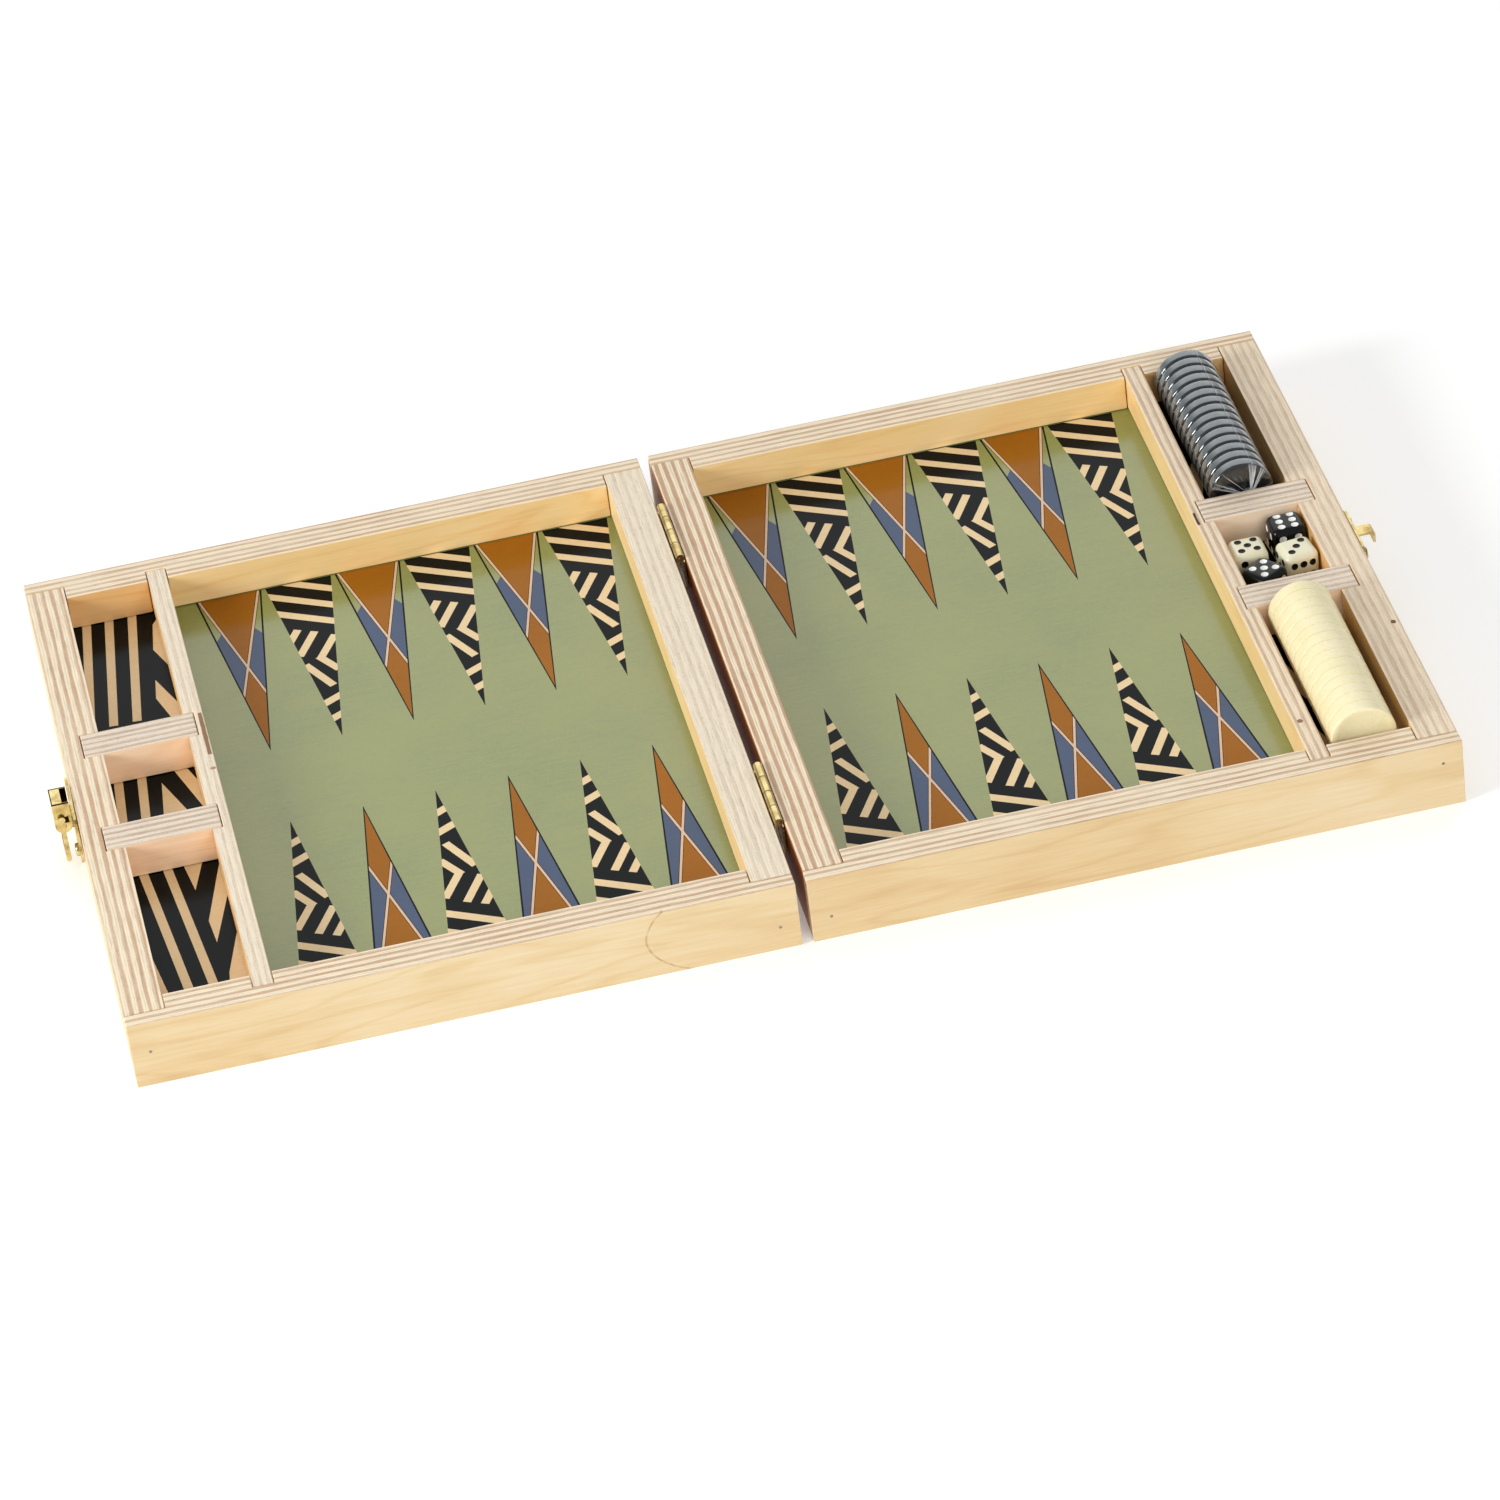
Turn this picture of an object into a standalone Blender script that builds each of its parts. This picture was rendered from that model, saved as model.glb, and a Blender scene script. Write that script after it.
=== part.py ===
"""Folding backgammon case, open flat: two plywood halves, two butt hinges, a draw
latch and its catch, two stacks of checkers and four dice.

Metres, +Z up. The origin is the bottom centre of the open case. X runs across both
halves, from the latch (-) to the catch (+), and Y runs from front (-) to back (+).
"""

import math

import bmesh
import bpy
from mathutils import Matrix, Vector

MM = 0.001
GAP = 0.3 * MM  # kept between pieces that touch
OVER = 1.0 * MM  # how far a cutter runs past the face it leaves through

# One half of the case
HALF_WIDTH = 200.0 * MM
DEPTH = 240.0 * MM
RIM = 22.5 * MM
PLY = 12.2 * MM
DIVIDER = 6.0 * MM
TRAY_WIDTH = 26.6 * MM
DICE_BAY = 38.0 * MM  # length of the middle compartment of a tray
FLOOR_BOTTOM = 5.5 * MM
FLOOR_TOP = 10.5 * MM
GROOVE = 4.0 * MM  # how deep the floor panel enters its groove
LAP = 5.4 * MM  # rail thickness that covers the end of a side board
DIVIDER_HOUSING = 5.6 * MM  # how deep a tray divider enters the rails
PARTITION_HOUSING = 5.7 * MM  # how deep a partition enters the outer side
PARTITION_LET_IN = 3.0 * MM  # how deep a partition enters the tray divider

# Fold and hinges
SPINE_FACE = 1.7 * MM  # from the fold plane to each spine board
FOLD_HEIGHT = RIM + 0.2 * MM
HINGE_Y = 73.8 * MM
HINGE_LENGTH = 31.0 * MM
KNUCKLES = 4
BARREL_RADIUS = 1.4 * MM
PIN_RADIUS = 0.5 * MM
PIN_CLEARANCE = 0.08 * MM
LEAF_THICKNESS = 0.7 * MM
LEAF_BOTTOM = 10.7 * MM
HINGE_SCREW_RADIUS = 1.0 * MM

# Draw latch, on the left end
PLATE_THICKNESS = 0.9 * MM
LATCH_HALF_WIDTH = 12.5 * MM
LATCH_BOTTOM = 4.0 * MM
LATCH_TOP = 22.0 * MM
PLATE_SCREW_RADIUS = 1.1 * MM
PLATE_SCREW_Y = 8.6 * MM
LEVER_PIVOT = Vector((-205.9 * MM, 0.0, 15.6 * MM))
LOOP_OFFSET = Vector((-0.4 * MM, 0.0, 2.8 * MM))  # loop pivot from the lever pivot
EAR_RADIUS = 1.8 * MM
EAR_Y = (2.8 * MM, 3.5 * MM)
BOSS_RADIUS = 0.7 * MM
BOSS_END = 4.3 * MM
PIVOT_CLEARANCE = 0.1 * MM
LEVER_RADIUS = 2.65 * MM  # half the depth of the lever, and its round lower end
LEVER_TOP = 23.8 * MM
LEVER_HALF_WIDTH = 4.4 * MM
LEVER_SHEET = 0.65 * MM
LEVER_LIP = 1.2 * MM
LEVER_LIP_DEPTH = 3.35 * MM
WEB_START = 2.2 * MM  # above the lever pivot
LOOP_HALF_WIDTH = 5.5 * MM
LOOP_ARM = 0.8 * MM
LOOP_EYE_RADIUS = 1.1 * MM
LOOP_ARM_HALF_DEPTH = 0.7 * MM
LOOP_BAR_HALF_DEPTH = 0.85 * MM
LOOP_BAR_ABOVE = 0.6 * MM
LOOP_BAR_BELOW = 1.75 * MM
LOOP_STUB_RADIUS = 0.6 * MM
LOOP_STUB_END = 3.95 * MM

# Catch, on the right end
CATCH_HALF_WIDTH = 12.0 * MM
CATCH_THICKNESS = 0.8 * MM
CATCH_BOTTOM = 13.5 * MM
CATCH_TOP = 21.9 * MM
LIP_HALF_WIDTH = 2.4 * MM
LIP_TOP = 20.7 * MM
LIP_BOTTOM = 16.7 * MM
LATCHED_BAR = Vector((204.5 * MM, 0.0, 19.0 * MM))  # bar centre, closed and latched

# Checkers and dice
CHECKER_RADIUS = 10.2 * MM
CHECKER_THICKNESS = 4.45 * MM
CHECKER_CHAMFER = 0.5 * MM
CHECKER_SIDES = 24
CHECKERS = 15
STACK_X = 175.5 * MM
STACK_PITCH = CHECKER_THICKNESS + GAP
STACK_FRONTS = {"dark": 33.0 * MM, "ivory": -105.6 * MM}
DIE_EDGE = 11.2 * MM
DIE_ROUNDING = 1.2 * MM
DICE = {  # x, y and turn of each die
    "die_ivory_a": (168.9 * MM, 2.5 * MM, 0.0),
    "die_ivory_b": (183.0 * MM, -3.3 * MM, math.radians(7)),
    "die_dark_a": (170.5 * MM, -11.2 * MM, math.radians(33)),
    "die_dark_b": (183.6 * MM, 11.4 * MM, 0.0),
}

# Places that follow from the sizes above, as distances from the fold plane
OUTER = SPINE_FACE + HALF_WIDTH
SPINE_IN = SPINE_FACE + PLY
SIDE_IN = OUTER - PLY
TRAY_IN = SIDE_IN - TRAY_WIDTH
DIVIDER_IN = TRAY_IN - DIVIDER
WELL_Y = DEPTH / 2 - PLY
PARTITION_NEAR = DICE_BAY / 2
PARTITION_FAR = PARTITION_NEAR + PLY
LOOP_PIVOT = LEVER_PIVOT + LOOP_OFFSET

# Colour, roughness and metallic value of each finish
BIRCH = ((0.80, 0.64, 0.43), 0.5, 0.0)
PRINTED_FLOOR = ((0.30, 0.34, 0.18), 0.6, 0.0)
BRASS = ((0.83, 0.62, 0.27), 0.3, 1.0)
DARK = ((0.03, 0.03, 0.03), 0.35, 0.0)
IVORY = ((0.88, 0.82, 0.60), 0.35, 0.0)

# For an extrusion along an axis: the outline's two axes, then the axis itself
PLANES = {"X": (1, 2, 0), "Y": (0, 2, 1), "Z": (0, 1, 2)}


def clear_scene():
    """Removes every object of the open scene."""
    for old in list(bpy.data.objects):
        bpy.data.objects.remove(old, do_unlink=True)


def finish(piece, look):
    """Gives a piece its own Principled material."""
    colour, roughness, metallic = look
    material = bpy.data.materials.new(piece.name)
    material.use_nodes = True
    shader = material.node_tree.nodes["Principled BSDF"]
    shader.inputs["Base Color"].default_value = (*colour, 1.0)
    shader.inputs["Roughness"].default_value = roughness
    shader.inputs["Metallic"].default_value = metallic
    material.diffuse_color = (*colour, 1.0)
    piece.data.materials.append(material)


def add_object(name, shape, origin=(0, 0, 0)):
    """Turns a bmesh in world coordinates into an object whose origin is given."""
    origin = Vector(origin)
    bmesh.ops.translate(shape, verts=shape.verts, vec=-origin)
    bmesh.ops.recalc_face_normals(shape, faces=shape.faces)
    mesh = bpy.data.meshes.new(name)
    shape.to_mesh(mesh)
    shape.free()
    piece = bpy.data.objects.new(name, mesh)
    piece.location = origin
    bpy.context.scene.collection.objects.link(piece)
    return piece


def add_empty(name, origin):
    """An empty on a joint's axis, which carries the pieces that move together."""
    empty = bpy.data.objects.new(name, None)
    empty.empty_display_size = 10 * MM
    empty.location = origin
    bpy.context.scene.collection.objects.link(empty)
    return empty


def attach(parent, children):
    """Parents pieces to an empty or to another piece without moving them."""
    bpy.context.view_layer.update()
    for child in children:
        child.parent = parent
        child.matrix_parent_inverse = parent.matrix_world.inverted()


def smooth_round(piece):
    """Shades round faces smooth and keeps real corners sharp."""
    piece.data.shade_smooth()
    piece.data.set_sharp_from_angle(angle=math.radians(35))


def arc(centre, radius, start, end, steps):
    """Points along an arc from start to end, in degrees, both ends included."""
    angles = [math.radians(start + (end - start) * step / steps) for step in range(steps + 1)]
    return [
        (centre[0] + radius * math.cos(angle), centre[1] + radius * math.sin(angle))
        for angle in angles
    ]


def circle(centre, radius, steps):
    """Points around a full circle."""
    return arc(centre, radius, 0, 360 - 360 / steps, steps - 1)


def prism(outline, axis, low, high):
    """A closed outline extruded along an axis from low to high."""
    first, second, along = PLANES[axis]
    shape = bmesh.new()
    rings = []
    for end in (low, high):
        ring = []
        for across, up in outline:
            point = Vector((0, 0, 0))
            point[first], point[second], point[along] = across, up, end
            ring.append(shape.verts.new(point))
        shape.faces.new(ring)
        rings.append(ring)
    for index in range(len(outline)):
        before = index - 1
        shape.faces.new((rings[0][before], rings[0][index], rings[1][index], rings[1][before]))
    return shape


def box(x_range, y_range, z_range):
    """A box between the given ranges."""
    (left, right), (front, back) = x_range, y_range
    outline = [(left, front), (right, front), (right, back), (left, back)]
    return prism(outline, "Z", *z_range)


def combine(piece, shapes, operation):
    """Applies each shape to a piece with a Boolean modifier."""
    tools = []
    for shape in shapes:
        number = len(piece.modifiers)
        tool = add_object(f"{piece.name}_tool_{number}", shape)
        tool.hide_render = True
        tool.display_type = "WIRE"
        boolean = piece.modifiers.new(f"{operation.lower()}_{number}", "BOOLEAN")
        boolean.operation = operation
        boolean.solver = "EXACT"
        boolean.object = tool
        tools.append(tool)
    attach(piece, tools)


def carve(piece, shapes):
    combine(piece, shapes, "DIFFERENCE")


def join(piece, shapes):
    combine(piece, shapes, "UNION")


def span(sign, near, far):
    """The range between two distances from a plane of symmetry, on one side of it."""
    return tuple(sorted((sign * near, sign * far)))


# The plywood halves


def rail(side, sign, end, facing):
    """A full-width board: rabbeted over the side boards, grooved for the floor panel,
    with a housing for the tray divider."""
    inner_y = span(facing, WELL_Y - OVER, DEPTH / 2 - LAP)
    full = (-OVER, RIM + OVER)
    shape = box(span(sign, SPINE_FACE, OUTER), span(facing, WELL_Y, DEPTH / 2), (0, RIM))
    board = add_object(f"{side}_{end}_rail", shape)
    carve(
        board,
        [
            box(span(sign, SPINE_FACE - OVER, SPINE_IN + GAP), inner_y, full),
            box(span(sign, SIDE_IN - GAP, OUTER + OVER), inner_y, full),
            box(
                span(sign, SPINE_IN, SIDE_IN),
                span(facing, WELL_Y - OVER, WELL_Y + GROOVE + GAP),
                (FLOOR_BOTTOM - GAP, FLOOR_TOP + GAP),
            ),
            box(
                span(sign, DIVIDER_IN - GAP, TRAY_IN + GAP),
                span(facing, WELL_Y - OVER, WELL_Y + DIVIDER_HOUSING + GAP),
                (FLOOR_TOP, RIM + OVER),
            ),
        ],
    )
    finish(board, BIRCH)
    return board


def side_board(side, sign, name, near, far, groove_x):
    """A board between the rails, grooved for the floor panel."""
    reach = DEPTH / 2 - LAP - GAP
    board = add_object(
        f"{side}_{name}", box(span(sign, near, far), (-reach, reach), (0, RIM))
    )
    groove = box(
        span(sign, *groove_x),
        (-DEPTH / 2, DEPTH / 2),
        (FLOOR_BOTTOM - GAP, FLOOR_TOP + GAP),
    )
    carve(board, [groove])
    finish(board, BIRCH)
    return board


def partition_slots(sign, near, far):
    """Cutters for both partitions, between two distances from the fold plane."""
    return [
        box(
            span(sign, near, far),
            span(facing, PARTITION_NEAR - GAP, PARTITION_FAR + GAP),
            (FLOOR_TOP, RIM + OVER),
        )
        for facing in (-1, 1)
    ]


def outer_side(side, sign):
    """The board that carries the latch or the catch, housed for the partitions."""
    groove = (SIDE_IN - OVER, SIDE_IN + GROOVE + GAP)
    board = side_board(side, sign, "outer_side", SIDE_IN, OUTER, groove)
    carve(board, partition_slots(sign, SIDE_IN - OVER, SIDE_IN + PARTITION_HOUSING + GAP))
    return board


def spine_side(side, sign):
    """The board that carries the hinges."""
    groove = (SPINE_IN - GROOVE - GAP, SPINE_IN + OVER)
    return side_board(side, sign, "spine_side", SPINE_FACE, SPINE_IN, groove)


def tray_divider(side, sign):
    """The thin board between the playing field and the tray."""
    reach = WELL_Y + DIVIDER_HOUSING
    board = add_object(
        f"{side}_tray_divider",
        box(span(sign, DIVIDER_IN, TRAY_IN), (-reach, reach), (FLOOR_TOP + GAP, RIM)),
    )
    carve(board, partition_slots(sign, TRAY_IN - PARTITION_LET_IN - GAP, TRAY_IN + OVER))
    finish(board, BIRCH)
    return board


def partition(side, sign, end, facing):
    """A thick block across the tray, let into both of its walls."""
    block = add_object(
        f"{side}_{end}_partition",
        box(
            span(sign, TRAY_IN - PARTITION_LET_IN, SIDE_IN + PARTITION_HOUSING),
            span(facing, PARTITION_NEAR, PARTITION_FAR),
            (FLOOR_TOP + GAP, RIM),
        ),
    )
    finish(block, BIRCH)
    return block


def floor_panel(side, sign):
    """The printed panel, captive in the grooves of the frame."""
    reach = WELL_Y + GROOVE
    panel = add_object(
        f"{side}_floor_panel",
        box(
            span(sign, SPINE_IN - GROOVE, SIDE_IN + GROOVE),
            (-reach, reach),
            (FLOOR_BOTTOM, FLOOR_TOP),
        ),
    )
    finish(panel, PRINTED_FLOOR)
    return panel


def half_case(side, sign):
    """Every plywood piece of one half."""
    pieces = [
        outer_side(side, sign),
        spine_side(side, sign),
        tray_divider(side, sign),
        floor_panel(side, sign),
    ]
    for end, facing in (("back", 1), ("front", -1)):
        pieces.append(rail(side, sign, end, facing))
        pieces.append(partition(side, sign, end, facing))
    return pieces


# Hinges


def knuckle_outline(sign):
    """Barrel section with a tail down to the leaf, as distances from the barrel axis."""
    inner = BARREL_RADIUS - LEAF_THICKNESS
    tail = FOLD_HEIGHT - leaf_top() + GAP
    meeting = 360 - math.degrees(math.acos(inner / BARREL_RADIUS))
    outline = arc((0, 0), BARREL_RADIUS, 0, meeting, 20)
    outline += [(inner, -tail), (BARREL_RADIUS, -tail)]
    return [(sign * across, FOLD_HEIGHT + up) for across, up in outline]


def leaf_top():
    """Highest point of a leaf that stays clear of the other leaf's knuckles."""
    reach = BARREL_RADIUS + GAP
    inner = BARREL_RADIUS - LEAF_THICKNESS
    return FOLD_HEIGHT - math.sqrt(reach**2 - inner**2)


def hinge_leaf(name, sign, centre_y, first_knuckle):
    """One leaf with every second knuckle of the barrel."""
    start = centre_y - HINGE_LENGTH / 2
    pitch = HINGE_LENGTH / KNUCKLES
    inner = BARREL_RADIUS - LEAF_THICKNESS
    leaf = add_object(
        name,
        box(
            span(sign, inner, BARREL_RADIUS),
            (start, start + HINGE_LENGTH),
            (LEAF_BOTTOM, leaf_top()),
        ),
        (0, centre_y, FOLD_HEIGHT),
    )
    knuckles = []
    for number in range(first_knuckle, KNUCKLES, 2):
        low = start + number * pitch + GAP / 2
        knuckles.append(prism(knuckle_outline(sign), "Y", low, low + pitch - GAP))
    join(leaf, knuckles)
    bore = circle((0, FOLD_HEIGHT), PIN_RADIUS + PIN_CLEARANCE, 16)
    holes = [prism(bore, "Y", start - OVER, start + HINGE_LENGTH + OVER)]
    for offset in (-HINGE_LENGTH / 4, HINGE_LENGTH / 4):
        hole = circle((centre_y + offset, (LEAF_BOTTOM + leaf_top()) / 2), HINGE_SCREW_RADIUS, 16)
        holes.append(prism(hole, "X", *span(sign, inner - OVER / 2, BARREL_RADIUS + OVER)))
    carve(leaf, holes)
    finish(leaf, BRASS)
    smooth_round(leaf)
    return leaf


def hinge_pin(name, centre_y):
    """The pin inside a hinge's barrel."""
    section = circle((0, FOLD_HEIGHT), PIN_RADIUS, 16)
    half = HINGE_LENGTH / 2
    pin = add_object(
        name, prism(section, "Y", centre_y - half, centre_y + half), (0, centre_y, FOLD_HEIGHT)
    )
    finish(pin, BRASS)
    smooth_round(pin)
    return pin


# Draw latch and catch


def plate_outline(half_width, bottom, top, low_corner, high_corner):
    """A plate with round corners, seen along X."""
    side, foot, head = half_width - low_corner, bottom + low_corner, top - high_corner
    upper = half_width - high_corner
    return (
        arc((side, foot), low_corner, -90, 0, 6)
        + arc((upper, head), high_corner, 0, 90, 4)
        + arc((-upper, head), high_corner, 90, 180, 4)
        + arc((-side, foot), low_corner, 180, 270, 6)
    )


def plate_holes(height, x_range):
    """Cutters for a plate's two screw holes."""
    return [
        prism(circle((y, height), PLATE_SCREW_RADIUS, 16), "X", *x_range)
        for y in (-PLATE_SCREW_Y, PLATE_SCREW_Y)
    ]


def latch_plate():
    """The plate screwed to the left end, with two ears and their bosses."""
    back = -OUTER - GAP
    front = back - PLATE_THICKNESS
    pivot = (LEVER_PIVOT.x, LEVER_PIVOT.z)
    outline = plate_outline(LATCH_HALF_WIDTH, LATCH_BOTTOM, LATCH_TOP, 5 * MM, 1.5 * MM)
    plate = add_object("latch_plate", prism(outline, "X", front, back))
    root = front + PLATE_THICKNESS / 2
    ear = arc(pivot, EAR_RADIUS, 90, 270, 12)
    ear += [(root, pivot[1] - EAR_RADIUS), (root, pivot[1] + EAR_RADIUS)]
    boss = circle(pivot, BOSS_RADIUS, 16)
    middle = (EAR_Y[0] + EAR_Y[1]) / 2
    join(plate, [prism(ear, "Y", *span(sign, *EAR_Y)) for sign in (-1, 1)])
    join(plate, [prism(boss, "Y", *span(sign, middle, BOSS_END)) for sign in (-1, 1)])
    carve(plate, plate_holes(LATCH_BOTTOM + 5 * MM, (front - OVER, back + OVER)))
    finish(plate, BRASS)
    smooth_round(plate)
    return plate


def latch_lever():
    """A U-shaped lever with a round lower end and a lip curled in at the top."""
    x, z = LEVER_PIVOT.x, LEVER_PIVOT.z
    outline = arc((x, z), LEVER_RADIUS, 180, 360, 16)
    outline += [(x + LEVER_RADIUS, LEVER_TOP), (x - LEVER_RADIUS, LEVER_TOP)]
    lever = add_object(
        "latch_lever", prism(outline, "Y", -LEVER_HALF_WIDTH, LEVER_HALF_WIDTH), LEVER_PIVOT
    )
    web_face = x - LEVER_RADIUS + LEVER_SHEET
    open_side = x + LEVER_RADIUS + OVER
    lip_end = x - LEVER_RADIUS + LEVER_LIP_DEPTH
    inside = (-LEVER_HALF_WIDTH + LEVER_SHEET, LEVER_HALF_WIDTH - LEVER_SHEET)
    below = z - LEVER_RADIUS - OVER
    through = (-LEVER_HALF_WIDTH - OVER, LEVER_HALF_WIDTH + OVER)
    pivot_hole = circle((x, z), BOSS_RADIUS + PIVOT_CLEARANCE, 16)
    loop_hole = circle((LOOP_PIVOT.x, LOOP_PIVOT.z), LOOP_STUB_RADIUS + PIVOT_CLEARANCE, 16)
    carve(
        lever,
        [
            box((web_face, open_side), inside, (below, LEVER_TOP - LEVER_LIP)),
            box((lip_end, open_side), inside, (z, LEVER_TOP + OVER)),
            box((x - LEVER_RADIUS - OVER, x), inside, (below, z + WEB_START)),
            prism(pivot_hole, "Y", *through),
            prism(loop_hole, "Y", *through),
        ],
    )
    finish(lever, BRASS)
    smooth_round(lever)
    return lever


def loop_length():
    """Loop pivot to bar centre, set so that the bar sits in the catch when latched.
    Closed, the case's left half is turned half a turn about the fold."""
    folded = Vector((-LATCHED_BAR.x, 0, 2 * FOLD_HEIGHT - LATCHED_BAR.z))
    return (folded - (LEVER_PIVOT - LOOP_OFFSET)).length


def loop_outline():
    """Side of an arm: a round eye, a straight strap and a drop-shaped bar."""
    x, z = LOOP_PIVOT.x, LOOP_PIVOT.z
    bar = z - loop_length()
    neck = math.degrees(math.acos(LOOP_ARM_HALF_DEPTH / LOOP_EYE_RADIUS))
    round_z = bar - LOOP_BAR_BELOW + LOOP_BAR_HALF_DEPTH
    outline = arc((x, z), LOOP_EYE_RADIUS, -neck, 180 + neck, 14)
    outline.append((x - LOOP_ARM_HALF_DEPTH, bar + LOOP_BAR_BELOW))
    outline += arc((x, round_z), LOOP_BAR_HALF_DEPTH, 180, 360, 10)
    outline.append((x + LOOP_ARM_HALF_DEPTH, bar + LOOP_BAR_BELOW))
    return outline


def latch_loop():
    """The loop that hangs from the lever and hooks under the catch."""
    x, z = LOOP_PIVOT.x, LOOP_PIVOT.z
    loop = add_object(
        "latch_loop", prism(loop_outline(), "Y", -LOOP_HALF_WIDTH, LOOP_HALF_WIDTH), LOOP_PIVOT
    )
    inner = LOOP_HALF_WIDTH - LOOP_ARM
    sides = (x - LOOP_EYE_RADIUS - OVER, x + LOOP_EYE_RADIUS + OVER)
    eye = (z - loop_length() + LOOP_BAR_ABOVE, z + LOOP_EYE_RADIUS + OVER)
    carve(loop, [box(sides, (-inner, inner), eye)])
    stub = circle((x, z), LOOP_STUB_RADIUS, 16)
    root = LOOP_HALF_WIDTH - LOOP_ARM / 2
    join(loop, [prism(stub, "Y", *span(sign, LOOP_STUB_END, root)) for sign in (-1, 1)])
    finish(loop, BRASS)
    smooth_round(loop)
    return loop


def latch_catch():
    """The plate on the right end, with a hooked lip that is open underneath."""
    back = OUTER + GAP
    front = back + CATCH_THICKNESS
    reach = -LEVER_PIVOT.x + LEVER_RADIUS
    outline = plate_outline(CATCH_HALF_WIDTH, CATCH_BOTTOM, CATCH_TOP, 2.5 * MM, 2.5 * MM)
    plate = add_object("latch_catch", prism(outline, "X", back, front))
    root = back + CATCH_THICKNESS / 2
    wall, bend = CATCH_THICKNESS, 1.2 * MM
    under = LIP_TOP - wall
    lip = [(root, LIP_TOP), (root, under), (reach - wall, under), (reach - wall, LIP_BOTTOM)]
    lip.append((reach, LIP_BOTTOM))
    lip += arc((reach - bend, LIP_TOP - bend), bend, 0, 90, 5)
    join(plate, [prism(lip, "Y", -LIP_HALF_WIDTH, LIP_HALF_WIDTH)])
    carve(plate, plate_holes((CATCH_BOTTOM + CATCH_TOP) / 2, (back - OVER, front + OVER)))
    finish(plate, BRASS)
    smooth_round(plate)
    return plate


# Checkers and dice


def turned(profile, sides):
    """A solid of revolution about Y from (radius, y) pairs, with flat ends."""
    shape = bmesh.new()
    rings = []
    for radius, y in profile:
        points = circle((0, 0), radius, sides)
        rings.append([shape.verts.new((across, y, up)) for across, up in points])
    for lower, upper in zip(rings, rings[1:]):
        for index in range(sides):
            before = index - 1
            shape.faces.new((lower[before], lower[index], upper[index], upper[before]))
    shape.faces.new(rings[0])
    shape.faces.new(rings[-1])
    return shape


def checker(name, front, look):
    """A chamfered disc on edge, with its front face at the given y."""
    half, rim = CHECKER_THICKNESS / 2, CHECKER_RADIUS - CHECKER_CHAMFER
    profile = [
        (rim, -half),
        (CHECKER_RADIUS, -half + CHECKER_CHAMFER),
        (CHECKER_RADIUS, half - CHECKER_CHAMFER),
        (rim, half),
    ]
    disc = add_object(name, turned(profile, CHECKER_SIDES))
    disc.location = (STACK_X, front + half, FLOOR_TOP + GAP + CHECKER_RADIUS)
    finish(disc, look)
    smooth_round(disc)
    return disc


def checker_stack(colour, look):
    """Checkers standing on edge in a row, which lift out together."""
    front = STACK_FRONTS[colour]
    discs = [
        checker(f"{colour}_checker_{number + 1:02d}", front + number * STACK_PITCH, look)
        for number in range(CHECKERS)
    ]
    base = add_empty(f"{colour}_stack_lift", (STACK_X, front, FLOOR_TOP))
    attach(base, discs)


def die(name, look):
    """A cube with rounded edges, turned where it lies."""
    x, y, turn = DICE[name]
    shape = bmesh.new()
    bmesh.ops.create_cube(shape, size=DIE_EDGE, matrix=Matrix.Identity(4))
    cube = add_object(name, shape)
    cube.location = (x, y, FLOOR_TOP + GAP + DIE_EDGE / 2)
    cube.rotation_euler.z = turn
    rounding = cube.modifiers.new("rounding", "BEVEL")
    rounding.width = DIE_ROUNDING
    rounding.segments = 3
    finish(cube, look)
    smooth_round(cube)


# The whole case


def main():
    clear_scene()
    moving = half_case("left", -1)
    half_case("right", 1)
    for end, centre_y in (("back", HINGE_Y), ("front", -HINGE_Y)):
        moving.append(hinge_leaf(f"{end}_hinge_moving_leaf", -1, centre_y, 0))
        hinge_leaf(f"{end}_hinge_fixed_leaf", 1, centre_y, 1)
        hinge_pin(f"{end}_hinge_pin", centre_y)
    moving.append(latch_plate())
    fold = add_empty("case_fold", (0, 0, FOLD_HEIGHT))
    lever = latch_lever()
    attach(lever, [latch_loop()])
    attach(fold, moving + [lever])
    latch_catch()
    checker_stack("dark", DARK)
    checker_stack("ivory", IVORY)
    for name in DICE:
        die(name, IVORY if "ivory" in name else DARK)


main()
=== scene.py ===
import math
import random

import bmesh
import bpy
from mathutils import Matrix, Vector
from mathutils.geometry import delaunay_2d_cdt


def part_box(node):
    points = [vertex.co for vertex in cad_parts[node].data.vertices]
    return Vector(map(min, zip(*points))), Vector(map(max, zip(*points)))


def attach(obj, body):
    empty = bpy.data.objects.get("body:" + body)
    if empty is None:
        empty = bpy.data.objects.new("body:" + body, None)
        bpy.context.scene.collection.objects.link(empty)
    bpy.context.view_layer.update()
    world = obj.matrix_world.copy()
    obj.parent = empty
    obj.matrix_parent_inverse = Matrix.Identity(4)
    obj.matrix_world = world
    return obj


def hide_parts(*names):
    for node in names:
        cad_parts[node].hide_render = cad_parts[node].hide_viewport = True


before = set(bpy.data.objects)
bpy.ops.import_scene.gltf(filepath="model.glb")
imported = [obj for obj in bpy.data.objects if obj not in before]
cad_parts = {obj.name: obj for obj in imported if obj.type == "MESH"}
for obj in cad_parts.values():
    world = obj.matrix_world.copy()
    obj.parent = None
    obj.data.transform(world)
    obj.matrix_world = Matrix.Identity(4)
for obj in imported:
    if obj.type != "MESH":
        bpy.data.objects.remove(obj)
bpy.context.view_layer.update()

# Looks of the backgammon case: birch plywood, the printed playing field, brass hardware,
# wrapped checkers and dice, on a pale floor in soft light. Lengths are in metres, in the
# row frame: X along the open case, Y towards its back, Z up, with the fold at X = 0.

MM = 0.001
SIDES = {"left": -1, "right": 1}


# ---- places from the CAD


def near_far(node, axis):
    """Smallest and largest distance of a node from the plane through the origin."""
    low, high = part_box(node)
    return tuple(sorted((abs(low[axis]), abs(high[axis]))))


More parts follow.
